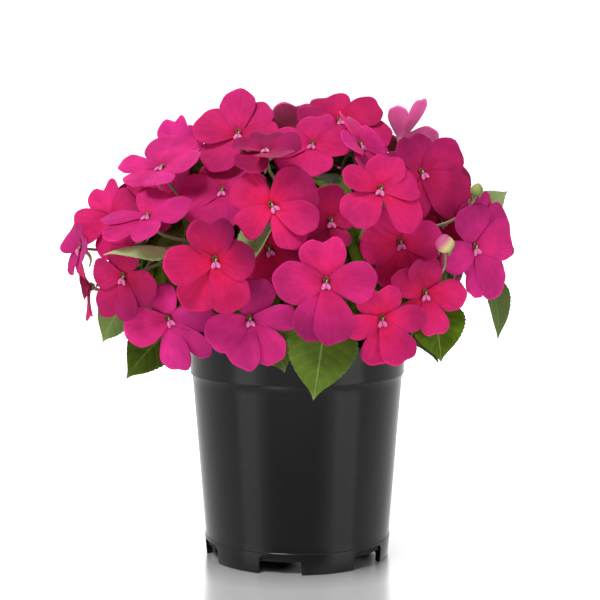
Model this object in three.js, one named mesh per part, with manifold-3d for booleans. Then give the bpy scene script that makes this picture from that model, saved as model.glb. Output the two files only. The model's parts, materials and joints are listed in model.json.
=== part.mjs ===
// Busy lizzie (Impatiens) in full bloom, in the round black nursery pot that it grows in.
// Millimetres, +Z up, front towards -Y. The pot stands on Z = 0.

import * as THREE from "three";
import { mergeVertices } from "three/addons/utils/BufferGeometryUtils.js";
import Module from "manifold-3d";

const wasm = await Module();
wasm.setup();

// ---------------------------------------------------------------- driving dimensions

// Pot: one litre, moulded in one piece.
const POT_HEIGHT = 121;
const RIM_RADIUS = 59.6;
const BAND_HEIGHT = 19;
const BAND_RADIUS = 59.0;
const WALL_TOP_RADIUS = 58.1;
const BASE_RADIUS = 50.6;
const WALL = 1.6;
const FLOOR_Z = 5;
const FOOT_WALL = 3;
const FOOT_HEIGHT = 12;
const FOOT_STEP = 0.5;
const NOTCH_COUNT = 6;
const NOTCH_WIDTH = 22.8;
const NOTCH_HEIGHT = 10;
const NOTCH_CORNER = 3;
const NOTCH_DEPTH = 9;
const NOTCH_AZIMUTH = -100.4;
const POT_SEGMENTS = 30;

// Potting soil.
const SOIL_TOP = 107;
const SOIL_CROWN = 4;
const SOIL_SHOULDER = { radius: 33, rise: 2.8 };
const HOLE_DEPTH = 30;

// Two neighbouring pieces stay this far apart where one sits in or on the other.
const GAP = 0.3;

// Bush: a flattened dome of blooms round this centre.
const DOME_CENTRE = new THREE.Vector3(-4, 0, 172);
const BACK_RADII = new THREE.Vector3(98, 84, 61);

// Bloom.
const PETAL_THICKNESS = 0.7;
const PETAL_LEVEL = 0.6;
const PETAL_GROOVE = 1;
const EYE_RADIUS = 3.2;
const EYE_BACK = 4.2;
const EYE_FRONT = 1.2;
const EYE_PIT = 1.6;
const SPUR_LENGTH = 13;
const SPUR_RADIUS = 0.8;

// Green parts.
const STEM_BASE_RADIUS = 4;
const STEM_TIP_RADIUS = 2;
const PEDICEL_RADIUS = 0.8;
const PETIOLE_RADIUS = 1.2;
const LEAF_THICKNESS = 0.8;

// Room kept free on each side of a petal, blade or stem when the next one is placed.
const CLEARANCE = 0.45;

const COLOURS = {
  petal: "#d4236d",
  bud: "#e6c9b0",
  leaf: "#4c7a2c",
  pot: "#232426",
  soil: "#33241a",
};

// ---------------------------------------------------------------- small helpers

const vec = (x, y, z) => new THREE.Vector3(x, y, z);
const radians = (degrees) => (degrees * Math.PI) / 180;
const mix = (a, b, t) => a + (b - a) * t;

// Degrees from each point of a spiral to the next.
const GOLDEN_ANGLE = 137.508;

// Seeded draws, so that the same plant grows every time.
let drawState = 11;
function draw(low, high) {
  drawState = (Math.imul(drawState, 1664525) + 1013904223) >>> 0;
  return mix(low, high, drawState / 4294967296);
}

// A closed geometry as a manifold solid with its faces pointing out.
function solidOf(geometry) {
  const bare = geometry.index ? geometry.toNonIndexed() : geometry.clone();
  bare.deleteAttribute("normal");
  bare.deleteAttribute("uv");
  const merged = mergeVertices(bare, 1e-4);
  const vertProperties = Float32Array.from(merged.attributes.position.array);
  const triVerts = Uint32Array.from(merged.index.array);
  const made = new wasm.Manifold(new wasm.Mesh({ numProp: 3, vertProperties, triVerts }));
  if (made.volume() >= 0) return made;
  for (let i = 0; i < triVerts.length; i += 3) {
    [triVerts[i + 1], triVerts[i + 2]] = [triVerts[i + 2], triVerts[i + 1]];
  }
  return new wasm.Manifold(new wasm.Mesh({ numProp: 3, vertProperties, triVerts }));
}

function geometryOf(body) {
  const { vertProperties, triVerts } = body.getMesh();
  const geometry = new THREE.BufferGeometry();
  geometry.setAttribute("position", new THREE.BufferAttribute(Float32Array.from(vertProperties), 3));
  geometry.setIndex(Array.from(triVerts));
  geometry.computeVertexNormals();
  return geometry;
}

function fuse(bodies) {
  let left = bodies;
  while (left.length > 1) {
    const next = [];
    for (let i = 0; i < left.length; i += 2) {
      next.push(i + 1 < left.length ? left[i].add(left[i + 1]) : left[i]);
    }
    left = next;
  }
  return left[0];
}

// A solid with its box, for quick tests of what it may touch.
function placed(body) {
  const box = body.boundingBox();
  return { body, low: box.min, high: box.max };
}

function boxesMeet(a, b) {
  return [0, 1, 2].every((i) => a.low[i] <= b.high[i] && b.low[i] <= a.high[i]);
}

// Edges shorter than this are closed up after fusing.
const SHORTEST_EDGE = 0.05;

// The largest body of a solid, without slivers: a loose scrap or a hollow that fusing sealed is dropped.
function wholeOf(body) {
  return body.decompose().sort((a, b) => b.volume() - a.volume())[0].simplify(SHORTEST_EDGE);
}

// A shared volume in cubic millimetres that counts as no overlap.
const NO_VOLUME = 1e-4;

function crosses(piece, others) {
  const near = others.filter((other) => boxesMeet(piece, other));
  return near.some((other) => piece.body.intersect(other.body).volume() > NO_VOLUME);
}

// A closed sheet: a front and a back with their points in pairs, split into triangles alike, and a
// wall along the rim.
function sheet(front, back, faces, rim) {
  const count = front.length;
  const index = [];
  for (const [a, b, c] of faces) index.push(a, b, c, count + a, count + c, count + b);
  rim.forEach((a, i) => {
    const b = rim[(i + 1) % rim.length];
    index.push(b, a, count + a, b, count + a, count + b);
  });
  const geometry = new THREE.BufferGeometry();
  const positions = [...front, ...back].flatMap((p) => p.toArray());
  geometry.setAttribute("position", new THREE.Float32BufferAttribute(positions, 3));
  geometry.setIndex(index);
  return solidOf(geometry);
}

// A blade from rows of three points across it, with one point at each end.
function blade(start, rows, end, thickness, normal) {
  const points = [start, ...rows.flat(), end];
  const last = points.length - 1;
  const half = normal.clone().multiplyScalar(thickness / 2);
  const faces = [[0, 1, 2], [0, 2, 3], [last, last - 2, last - 3], [last, last - 1, last - 2]];
  for (let a = 1; a + 5 < last; a += 3) {
    faces.push([a, a + 3, a + 1], [a + 1, a + 3, a + 4]);
    faces.push([a + 1, a + 4, a + 5], [a + 1, a + 5, a + 2]);
  }
  const rim = [0];
  for (let a = 1; a < last; a += 3) rim.push(a);
  rim.push(last);
  for (let a = last - 1; a > 0; a -= 3) rim.push(a);
  return sheet(points.map((p) => p.clone().add(half)), points.map((p) => p.clone().sub(half)), faces, rim);
}

// A round tapered stem through the points, with a ring at each and a fan at both ends.
function taperedStem(points, radii, sides) {
  const last = points.length - 1;
  const rings = [];
  let side = null;
  points.forEach((point, i) => {
    const along = points[Math.min(i + 1, last)].clone().sub(points[Math.max(i - 1, 0)]).normalize();
    if (!side) side = Math.abs(along.z) < 0.9 ? vec(0, 0, 1) : vec(1, 0, 0);
    side = side.clone().addScaledVector(along, -side.dot(along)).normalize();
    const other = along.clone().cross(side);
    for (let k = 0; k < sides; k++) {
      const turn = (2 * Math.PI * k) / sides;
      const out = side.clone().multiplyScalar(Math.cos(turn)).addScaledVector(other, Math.sin(turn));
      rings.push(point.clone().addScaledVector(out, radii[i]));
    }
  });
  const index = [];
  for (let i = 0; i < last; i++) {
    for (let k = 0; k < sides; k++) {
      const [a, b] = [i * sides + k, i * sides + ((k + 1) % sides)];
      index.push(a, b, b + sides, a, b + sides, a + sides);
    }
  }
  for (let k = 1; k < sides - 1; k++) {
    index.push(0, k + 1, k);
    index.push(last * sides, last * sides + k, last * sides + k + 1);
  }
  const geometry = new THREE.BufferGeometry();
  geometry.setAttribute("position", new THREE.Float32BufferAttribute(rings.flatMap((p) => p.toArray()), 3));
  geometry.setIndex(index);
  return solidOf(geometry);
}

// ---------------------------------------------------------------- pot and soil

const bandBottom = POT_HEIGHT - BAND_HEIGHT;
const wallRadius = (z) => mix(BASE_RADIUS, WALL_TOP_RADIUS, Math.min(z / bandBottom, 1));

function makePot() {
  const inside = (z) => wallRadius(z) - WALL;
  const profile = [
    [0, FLOOR_Z],
    [BASE_RADIUS - FOOT_WALL, FLOOR_Z],
    [BASE_RADIUS - FOOT_WALL, 0],
    [BASE_RADIUS, 0],
    [wallRadius(FOOT_HEIGHT), FOOT_HEIGHT - FOOT_STEP],
    [wallRadius(FOOT_HEIGHT) - FOOT_STEP / 2, FOOT_HEIGHT],
    [WALL_TOP_RADIUS, bandBottom - 1],
    [BAND_RADIUS, bandBottom],
    [RIM_RADIUS, POT_HEIGHT],
    [RIM_RADIUS - WALL, POT_HEIGHT],
    [inside(bandBottom), bandBottom - 1],
    [inside(FLOOR_Z), FLOOR_Z + WALL],
    [0, FLOOR_Z + WALL],
  ].map(([r, z]) => new THREE.Vector2(r, z));
  let pot = solidOf(new THREE.LatheGeometry(profile, POT_SEGMENTS).rotateX(Math.PI / 2));

  const half = NOTCH_WIDTH / 2;
  const arch = new THREE.Shape();
  arch.moveTo(-half, -1);
  arch.lineTo(half, -1);
  arch.lineTo(half, NOTCH_HEIGHT - NOTCH_CORNER);
  arch.absarc(half - NOTCH_CORNER, NOTCH_HEIGHT - NOTCH_CORNER, NOTCH_CORNER, 0, Math.PI / 2, false);
  arch.absarc(NOTCH_CORNER - half, NOTCH_HEIGHT - NOTCH_CORNER, NOTCH_CORNER, Math.PI / 2, Math.PI, false);
  const steps = { depth: 2 * NOTCH_DEPTH, bevelEnabled: false, curveSegments: 2 };
  for (let i = 0; i < NOTCH_COUNT; i++) {
    const turn = radians(NOTCH_AZIMUTH + (360 / NOTCH_COUNT) * i);
    const out = vec(Math.cos(turn), Math.sin(turn), 0);
    const along = vec(-Math.sin(turn), Math.cos(turn), 0);
    const cut = new THREE.ExtrudeGeometry(arch, steps);
    cut.translate(0, 0, BASE_RADIUS - NOTCH_DEPTH);
    cut.applyMatrix4(new THREE.Matrix4().makeBasis(along, vec(0, 0, 1), out));
    pot = pot.subtract(solidOf(cut));
  }
  return pot;
}

function makeSoil(stems) {
  const inside = (z) => wallRadius(z) - WALL - 2 * GAP;
  const bottom = FLOOR_Z + WALL + GAP;
  const profile = [
    [0, bottom],
    [inside(bottom), bottom],
    [inside(SOIL_TOP) - GAP, SOIL_TOP],
    [SOIL_SHOULDER.radius, SOIL_TOP + SOIL_SHOULDER.rise],
    [0, SOIL_TOP + SOIL_CROWN],
  ].map(([r, z]) => new THREE.Vector2(r, z));
  let soil = solidOf(new THREE.LatheGeometry(profile, POT_SEGMENTS).rotateX(Math.PI / 2));
  for (const stem of stems) {
    const [start, next] = stem.path;
    const foot = start.clone().setZ(start.z - GAP);
    const mouth = foot.clone().addScaledVector(next.clone().sub(start).normalize(), 2 * HOLE_DEPTH);
    const radius = STEM_BASE_RADIUS + GAP;
    soil = soil.subtract(taperedStem([foot, mouth], [radius, radius], STEM_SIDES));
  }
  return soil;
}

// ---------------------------------------------------------------- blooms

// Each petal: its direction round the eye, length and half width as shares of the bloom's half span,
// how far it stands in front of or behind the others, and how deep its tip is notched.
const PETALS = [
  { turn: 90, length: 0.92, width: 0.52, level: -1, notch: 0.18 },
  { turn: 172, length: 1.0, width: 0.45, level: 1, notch: 0 },
  { turn: 241, length: 1.12, width: 0.36, level: -0.5, notch: 0 },
  { turn: 299, length: 1.12, width: 0.36, level: 0.5, notch: 0 },
  { turn: 368, length: 1.0, width: 0.45, level: 1, notch: 0 },
];

// Rows of a petal: distance from the eye, and half width, as shares of its own length and width.
const PLAIN_ROWS = [
  [0.48, 0.82],
  [0.84, 0.82],
];
const NOTCHED_ROWS = [
  [0.56, 0.9],
  [0.97, 0.6],
];

// Five petals in one sheet round the throat, which is a pit in front and the sepals' cup behind.
function makePetals(bloom, pad) {
  const half = bloom.span / 2;
  const front = [vec(0, 0, EYE_FRONT - EYE_PIT)];
  const back = [vec(0, 0, -EYE_BACK - pad)];
  const add = (x, y, z, lift, drop) => {
    front.push(vec(x, y, z + lift + pad));
    back.push(vec(x, y, z - drop - pad));
    return front.length - 1;
  };
  const thin = PETAL_THICKNESS / 2;
  const forks = PETALS.map((petal, i) => {
    const next = PETALS[(i + 1) % PETALS.length];
    const turn = radians((petal.turn + next.turn + (next.turn < petal.turn ? 360 : 0)) / 2);
    const reach = EYE_RADIUS + pad;
    return add(reach * Math.cos(turn), reach * Math.sin(turn), 0, EYE_FRONT, 2 * thin);
  });
  const faces = [];
  const rim = [];
  PETALS.forEach((petal, i) => {
    const turn = radians(petal.turn);
    const spot = (along, across) => {
      const x = along * Math.cos(turn) - across * Math.sin(turn);
      const y = along * Math.sin(turn) + across * Math.cos(turn);
      const reach = (x * x + y * y) / (half * half);
      const groove = (PETAL_GROOVE * Math.abs(across)) / (petal.width * half);
      return add(x, y, petal.level * PETAL_LEVEL + bloom.cup * reach + groove, thin, thin);
    };
    const length = petal.length * half + pad;
    const width = petal.width * half + pad;
    const shape = petal.notch > 0 ? NOTCHED_ROWS : PLAIN_ROWS;
    const rows = shape.map(([t, w]) => [-w, 0, w].map((side) => spot(t * length, side * width)));
    const tip = spot(length * (1 - petal.notch), 0);
    const [from, to] = [forks[(i + PETALS.length - 1) % PETALS.length], forks[i]];
    const [low, high] = rows;
    faces.push([0, from, to], [from, low[0], low[1]], [from, low[1], to], [to, low[1], low[2]]);
    faces.push([low[0], high[0], low[1]], [high[0], high[1], low[1]]);
    faces.push([low[1], high[1], high[2]], [low[1], high[2], low[2]]);
    faces.push([high[0], tip, high[1]], [high[1], tip, high[2]]);
    rim.push(from, low[0], high[0], tip, high[2], low[2]);
  });
  return sheet(front, back, faces, rim);
}

// The thin nectar spur that hangs behind the bloom.
function makeSpur(pad) {
  const path = [
    vec(0, -0.6, 2.2 - EYE_BACK),
    vec(0, -0.3 * SPUR_LENGTH, -EYE_BACK - 0.22 * SPUR_LENGTH),
    vec(0, -0.75 * SPUR_LENGTH, -EYE_BACK - 0.3 * SPUR_LENGTH),
  ];
  const radii = [1.5 * SPUR_RADIUS, SPUR_RADIUS, 0.5 * SPUR_RADIUS].map((r) => r + pad);
  return taperedStem(path, radii, 3);
}

function bloomFrame(bloom) {
  const [yaw, pitch] = [radians(bloom.yaw), radians(bloom.pitch)];
  const facing = vec(Math.sin(yaw) * Math.cos(pitch), -Math.cos(yaw) * Math.cos(pitch), Math.sin(pitch));
  const top = vec(-Math.sin(yaw) * Math.sin(pitch), Math.cos(yaw) * Math.sin(pitch), Math.cos(pitch));
  top.applyAxisAngle(facing, radians(bloom.roll));
  const right = top.clone().cross(facing);
  return new THREE.Matrix4().makeBasis(right, top, facing);
}

function makeBloom(bloom, pad) {
  return wholeOf(makePetals(bloom, pad).add(makeSpur(pad))).transform(bloomFrame(bloom).toArray());
}

// The front of the bush, nearest bloom first: place of the eye, turn to the side, tilt up, turn
// round its own middle, span over the side petals, and how far the petal tips reach forward.
const FRONT_BLOOMS = [
  [42, -86, 139, 8, -8, 3, 44, 1],
  [-23, -94, 140, -6, -10, 10, 49, 1],
  [-39, -103, 169, 4, 0, 5, 49, 1],
  [-12, -101, 195, -2, 14, 36, 48, 1],
  [41, -86, 203, 6, 26, -14, 44, 1],
  [8, -36, 226, -8, 34, -8, 42, -1],
  [-87, -74, 159, -26, -4, -10, 41, 1],
  [14, -104, 159, 2, -3, 0, 53, 1],
  [-64, -76, 138, -14, -12, 28, 49, 0],
  [64, -81, 151, 18, -4, 5, 43, 1],
  [91, -60, 173, 26, 4, 12, 48, 1],
  [-74, -81, 190, -24, 50, 8, 46, 1],
  [-69, -58, 214, -26, 52, 0, 48, 1],
  [-30, -52, 231, -8, 28, 0, 48, 1],
  [64, -54, 211, 22, 18, 22, 54, 0],
  [23, -8, 239, 10, 44, 6, 47, 1],
  [-95, -56, 188, -34, 8, 30, 44, 1],
  [-109, -52, 172, -62, 10, -20, 35, 5],
  [-38, -68, 202, -14, 34, 10, 46, 1],
  [-15, -74, 213, -4, 62, 0, 34, 1],
  [52, -72, 176, 6, 0, 10, 46, 1],
  [31, -36, 224, 62, 30, 0, 42, 1],
  [17, -76, 187, 10, 20, 0, 44, 1],
  [97, -36, 184, 46, 12, 0, 44, 1],
  [80, -44, 187, 40, 12, 30, 42, 1],
  [107, -6, 174, 76, -6, 0, 44, 1],
  [-14, -80, 173, -6, 4, 20, 44, 1],
  [-112, -24, 150, -76, -8, 0, 34, 4],
  [-64, -32, 222, -46, 14, 10, 42, 1],
  [-76, -34, 201, -34, 22, 0, 42, 1],
  [0, 18, 234, 180, 44, 0, 46, 1],
  [57, -6, 229, 150, 36, 20, 40, 7],
  [82, 24, 219, 40, 30, 30, 44, 1],
].map(([x, y, z, yaw, pitch, roll, span, cup]) => ({ at: vec(x, y, z), yaw, pitch, roll, span, cup }));

const BACK_BLOOM_COUNT = 16;
const BACK_SPACING = 31;
const BACK_TRIES = 70;
const BACK_START = -14;
const LOWEST_SINE = -0.62;

// The back of the bush: a golden-angle spiral over the dome, skipping what is already covered.
function backBlooms(front) {
  const found = [];
  for (let k = 0; k < BACK_TRIES && found.length < BACK_BLOOM_COUNT; k++) {
    const sine = mix(1, LOWEST_SINE, (k + 0.5) / BACK_TRIES);
    const turn = radians(GOLDEN_ANGLE * k);
    const level = Math.sqrt(1 - sine * sine);
    const unit = vec(level * Math.cos(turn), level * Math.sin(turn), sine);
    const at = unit.clone().multiply(BACK_RADII).add(DOME_CENTRE);
    if (at.y < BACK_START) continue;
    if ([...front, ...found].some((other) => other.at.distanceTo(at) < BACK_SPACING)) continue;
    const out = unit.clone().divide(BACK_RADII).normalize();
    const yaw = (Math.atan2(out.x, -out.y) * 180) / Math.PI + draw(-14, 14);
    const pitch = 0.8 * (Math.asin(out.z) * 180) / Math.PI + draw(-8, 8);
    found.push({ at, yaw, pitch, roll: draw(-35, 35), span: draw(48, 53), cup: draw(0, 3) });
  }
  return found;
}

const SLIP_STEP = 1.5;
const MOST_SLIPS = 12;

// A bloom that would cross one already there slips aside: straight back at the front, or else out or
// in along its facing, whichever is clear first.
function settle(bloom, make, others) {
  const roomy = make(bloom, CLEARANCE);
  const facing = vec(0, 0, 1).applyMatrix4(bloomFrame(bloom));
  const inwards = facing.clone().negate();
  const ways = bloom.at.y < 0 ? [[vec(0, 1, 0), inwards], [facing]] : [[inwards, facing]];
  for (const pair of ways) {
    for (let step = 0; step < MOST_SLIPS; step++) {
      for (const way of pair) {
        const at = bloom.at.clone().addScaledVector(way, step * SLIP_STEP);
        if (!crosses(placed(roomy.translate(at.toArray())), others)) return { ...bloom, at };
      }
    }
  }
  return null;
}

// ---------------------------------------------------------------- leafy stems

const STEM_SIDES = 6;
const STALK_SIDES = 3;
const OUTER_STEMS = 6;
const STEM_STEPS = [0.14, 0.28, 0.44, 0.6, 0.8, 1];
const STEM_START = SOIL_TOP - HOLE_DEPTH + 6;

// Main stems: one upright in the middle and a ring that leans out.
function stemPaths() {
  const paths = [[vec(2, 4, 0), vec(3, 6, 40), vec(0, 4, 78), vec(-2, 2, 110)]];
  for (let i = 0; i < OUTER_STEMS; i++) {
    const turn = radians(-90 + (360 / OUTER_STEMS) * (i + 0.5));
    const ring = [[20, 0], [24, 34], [38, 64], [58, 88]];
    paths.push(ring.map(([r, z]) => vec(r * Math.cos(turn), r * Math.sin(turn), z)));
  }
  return paths.map((path) => path.map((p) => p.setZ(p.z + STEM_START)));
}

function makeStem(path) {
  const curve = new THREE.CatmullRomCurve3(path);
  const points = [path[0], ...STEM_STEPS.map((t) => curve.getPoint(t))];
  const radii = points.map((_, i) => mix(STEM_BASE_RADIUS, STEM_TIP_RADIUS, i / (points.length - 1)));
  return { path, curve, body: taperedStem(points, radii, STEM_SIDES), parts: [], blades: [] };
}

const JOINTS = [0.97, 0.82, 0.66, 0.52, 0.4];
const DETOURS = [
  [0, 0], [7, 0], [-7, 0], [0, 7], [0, -7], [12, 6],
  [-12, 6], [12, -8], [-12, -8], [20, 0], [-20, 0], [0, 18],
];
const ARRIVALS = [0.38, 0.2, 0.6];
const STALK_STEPS = [0, 0.3, 0.6, 0.84, 1];
const NEAREST_JOINTS = 14;
const LEAVING_SHARE = 0.3;
const STALK_TAPER = 1.25;

// A stalk from a main stem to an end that is looked at along a direction: the first clear route of
// a few that leave the stem at other heights or go round to one side.
function makeStalk(stems, end, facing, radius, barriers) {
  const side = facing.clone().cross(vec(0, 0, 1)).normalize();
  const over = side.clone().cross(facing);
  const roots = stems.flatMap((stem) => JOINTS.map((t) => ({ stem, t, root: stem.curve.getPoint(t) })));
  roots.sort((a, b) => a.root.distanceTo(end) - b.root.distanceTo(end));
  for (const share of ARRIVALS) {
    for (const [across, above] of DETOURS) {
      for (const { stem, t, root } of roots.slice(0, NEAREST_JOINTS)) {
        const far = root.distanceTo(end);
        const leave = root.clone().addScaledVector(stem.curve.getTangent(t), LEAVING_SHARE * far);
        const arrive = end.clone().addScaledVector(facing, -share * far);
        arrive.addScaledVector(side, across).addScaledVector(over, above);
        const route = new THREE.CubicBezierCurve3(root, leave, arrive, end);
        const points = STALK_STEPS.map((s) => route.getPoint(s));
        const sizes = points.map((_, i) => radius * mix(STALK_TAPER, 1, i / (points.length - 1)));
        const roomy = placed(taperedStem(points, sizes.map((r) => r + CLEARANCE), STALK_SIDES));
        const others = stems.filter((other) => other !== stem).flatMap((other) => other.parts);
        if (crosses(roomy, barriers) || crosses(roomy, others) || crosses(roomy, stem.blades)) continue;
        return { stem, body: taperedStem(points, sizes, STALK_SIDES) };
      }
    }
  }
  return null;
}

// Stations along a leaf: distance from its base and half width, with every other one drawn in so
// that the edge is toothed.
const LEAF_ROWS = [
  [0.14, 0.66],
  [0.36, 1],
  [0.46, 0.86],
  [0.66, 0.76],
  [0.76, 0.46],
];

// A leaf blade from base to tip: upper face towards `up`, arched down by `droop`, its two halves
// folded up by `fold`.
function makeLeaf(leaf, pad) {
  const along = leaf.tip.clone().sub(leaf.base);
  const length = along.length();
  along.normalize();
  const across = along.clone().cross(leaf.up).normalize();
  const normal = across.clone().cross(along);
  const half = leaf.width / 2 + pad;
  const spot = (t, w) => {
    const arch = 4 * leaf.droop * t * (1 - t) + leaf.fold * Math.abs(w);
    return leaf.base.clone().addScaledVector(along, t * length).addScaledVector(across, w * half)
      .addScaledVector(normal, arch);
  };
  const rows = LEAF_ROWS.map(([t, w]) => [spot(t, -w), spot(t, 0), spot(t, w)]);
  return blade(spot(0, 0), rows, spot(1, 0), LEAF_THICKNESS + 2 * pad, normal);
}

// Leaves that show at the front: base, tip, the way the upper face looks, width, droop and fold.
const FRONT_LEAVES = [
  [[14, -82, 138], [8, -96, 100], [0.05, -1, 0.25], 36, 4, 3],
  [[-62, -70, 132], [-88, -72, 105], [-0.3, -0.8, 0.6], 33, 3, 3],
  [[-86, -50, 148], [-101, -48, 123], [-0.5, -0.8, 0.2], 26, 2, 2],
  [[68, -60, 145], [73, -66, 115], [0.2, -0.9, 0.3], 30, 3, 3],
  [[102, -20, 156], [107, -28, 122], [0.6, -0.8, 0.1], 18, 3, 3],
  [[92, -26, 186], [113, -26, 201], [0.2, -0.9, 0.3], 18, 2, 2],
  [[-64, -74, 171], [-94, -92, 169], [-0.1, -0.3, 1], 12, 3, 2],
  [[-14, -84, 186], [-24, -97, 164], [-0.6, -0.7, 0.3], 22, 2, 4],
  [[-16, -70, 138], [-6, -82, 112], [0, -0.9, 0.4], 32, 3, 2],
  [[32, -56, 188], [22, -70, 170], [0.2, -0.8, 0.5], 15, 2, 2],
  [[18, -54, 182], [27, -66, 206], [-0.2, -0.9, -0.2], 22, 2, 2],
].map(([base, tip, up, width, droop, fold]) => ({
  base: vec(...base), tip: vec(...tip), up: vec(...up), width, droop, fold,
}));

const RULE_LEAVES = 64;
const LEAF_DEPTHS = [1.02, 0.96, 0.9, 0.84, 0.78, 0.72, 0.66];
const FRONTMOST = -0.12;

// The other leaves: a spiral over the back and the sides of the dome, each just inside the blooms
// and hanging outwards.
function ruleLeaf(k, depth) {
  const sine = mix(0.96, -0.8, (k + 0.5) / RULE_LEAVES);
  const turn = radians(GOLDEN_ANGLE * k + 40);
  const level = Math.sqrt(1 - sine * sine);
  const unit = vec(level * Math.cos(turn), level * Math.sin(turn), sine);
  if (unit.y < FRONTMOST) return null;
  const middle = unit.clone().multiply(BACK_RADII).multiplyScalar(depth).add(DOME_CENTRE);
  const out = unit.clone().divide(BACK_RADII).normalize();
  const crown = Math.max(sine, 0);
  const along = vec(Math.cos(turn), Math.sin(turn), 0).multiplyScalar(mix(0.4, 1, crown));
  along.addScaledVector(vec(-Math.sin(turn), Math.cos(turn), 0), 0.5 * Math.sin(2.4 * k));
  along.z = -mix(0.8, 0.2, crown);
  along.normalize();
  const length = 46 + 8 * Math.sin(1.7 * k);
  return {
    base: middle.clone().addScaledVector(along, -length / 2),
    tip: middle.clone().addScaledVector(along, length / 2),
    up: out.clone().add(vec(0, 0, 0.25)),
    width: 0.62 * length,
    droop: 4,
    fold: 2.5,
  };
}

// ---------------------------------------------------------------- buds

// Buds that show colour: place and facing as for a bloom, and length.
const COLOURED_BUDS = [
  { at: vec(73, -82, 172), yaw: -10, pitch: 60, roll: 0, length: 12, radius: 4.4 },
  { at: vec(90, -62, 199), yaw: 20, pitch: 60, roll: 0, length: 9, radius: 3 },
];

const BUD_SIDES = 7;

function makeBud(bud, pad) {
  const profile = [
    [0, -pad],
    [0.75, 0.12],
    [1, 0.42],
    [0.7, 0.78],
    [0, 1],
  ].map(([r, z]) => new THREE.Vector2(r * (bud.radius + pad), z * (bud.length + pad)));
  const upright = solidOf(new THREE.LatheGeometry(profile, BUD_SIDES).rotateX(Math.PI / 2));
  return upright.transform(bloomFrame(bud).toArray());
}

// ---------------------------------------------------------------- the plant

const plant = new THREE.Group();

function addPiece(name, body, colour, roughness) {
  const look = { color: colour, roughness, metalness: 0, flatShading: true };
  const material = new THREE.MeshStandardMaterial(look);
  const mesh = new THREE.Mesh(geometryOf(body), material);
  mesh.name = name;
  plant.add(mesh);
}

const pot = makePot();
const stems = stemPaths().map(makeStem);
stems.forEach((stem) => stem.parts.push(placed(stem.body)));
const soil = makeSoil(stems);
const barriers = [placed(pot), placed(soil)];

function plantBloom(bloom, make) {
  const settled = settle(bloom, make, barriers);
  if (!settled) throw new Error("no room for the bloom at " + bloom.at.toArray());
  settled.body = make(settled, 0).translate(settled.at.toArray());
  barriers.push(placed(settled.body));
  return settled;
}
const blooms = FRONT_BLOOMS.map((bloom) => plantBloom(bloom, makeBloom));
blooms.push(...backBlooms(blooms).map((bloom) => plantBloom(bloom, makeBloom)));
const buds = COLOURED_BUDS.map((bud) => plantBloom(bud, makeBud));

// How far a leaf's stalk runs under its blade.
const ROOT_OVERLAP = 3;

// A leaf is kept if its blade and its stalk are clear of every piece but those of its own stem.
function plantLeaf(leaf) {
  if (!leaf) return false;
  const roomy = placed(makeLeaf(leaf, CLEARANCE));
  if (crosses(roomy, barriers)) return false;
  const along = leaf.tip.clone().sub(leaf.base).normalize();
  const root = leaf.base.clone().addScaledVector(along, ROOT_OVERLAP);
  if (crosses(roomy, stems.flatMap((stem) => stem.parts))) return false;
  const stalk = makeStalk(stems, root, along, PETIOLE_RADIUS, barriers);
  if (!stalk) return false;
  const made = placed(makeLeaf(leaf, 0));
  stalk.stem.blades.push(made);
  stalk.stem.parts.push(made, placed(stalk.body));
  return true;
}

// A leaf of the front slips back, and a little up or down, until it is clear.
const LEAF_LIFTS = [0, 2, -2, 4, -4];

for (const leaf of FRONT_LEAVES) {
  const slips = [...Array(MOST_SLIPS).keys()].map((step) => step * SLIP_STEP);
  const shifts = LEAF_LIFTS.flatMap((lift) => slips.map((slip) => vec(0, slip, lift)));
  const fits = shifts.some((shift) => {
    return plantLeaf({ ...leaf, base: leaf.base.clone().add(shift), tip: leaf.tip.clone().add(shift) });
  });
  if (!fits) throw new Error("no room for the leaf at " + leaf.tip.toArray());
}

for (const bloom of [...blooms, ...buds]) {
  const facing = vec(0, 0, 1).applyMatrix4(bloomFrame(bloom));
  const back = bloom.length ? GAP : EYE_BACK + GAP;
  const end = bloom.at.clone().addScaledVector(facing, -back);
  const stalk = makeStalk(stems, end, facing, PEDICEL_RADIUS, barriers);
  if (!stalk) throw new Error("no stalk reaches the bloom at " + bloom.at.toArray());
  stalk.stem.parts.push(placed(stalk.body));
}

for (let k = 0; k < RULE_LEAVES; k++) {
  LEAF_DEPTHS.some((depth) => plantLeaf(ruleLeaf(k, depth)));
}

addPiece("pot", pot, COLOURS.pot, 0.45);
addPiece("potting_soil", soil, COLOURS.soil, 1);
stems.forEach((stem, i) => {
  const body = wholeOf(fuse(stem.parts.map((part) => part.body)));
  addPiece("leafy_stem_" + (i + 1), body, COLOURS.leaf, 0.6);
});
blooms.forEach((bloom, i) => {
  addPiece("bloom_" + String(i + 1).padStart(2, "0"), bloom.body, COLOURS.petal, 0.5);
});
buds.forEach((bud, i) => addPiece("flower_bud_" + (i + 1), bud.body, COLOURS.bud, 0.5));

// The origin is under the middle of the whole plant's box.
const reach = new THREE.Box3().setFromObject(plant);
const middle = reach.getCenter(vec(0, 0, 0));
plant.position.set(-middle.x, -middle.y, 0);

export default plant;
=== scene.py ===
import json
import math
import random

import bpy
import numpy as np
from mathutils import Matrix, Quaternion, Vector, noise
from mathutils.bvhtree import BVHTree
from mathutils.kdtree import KDTree

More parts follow.
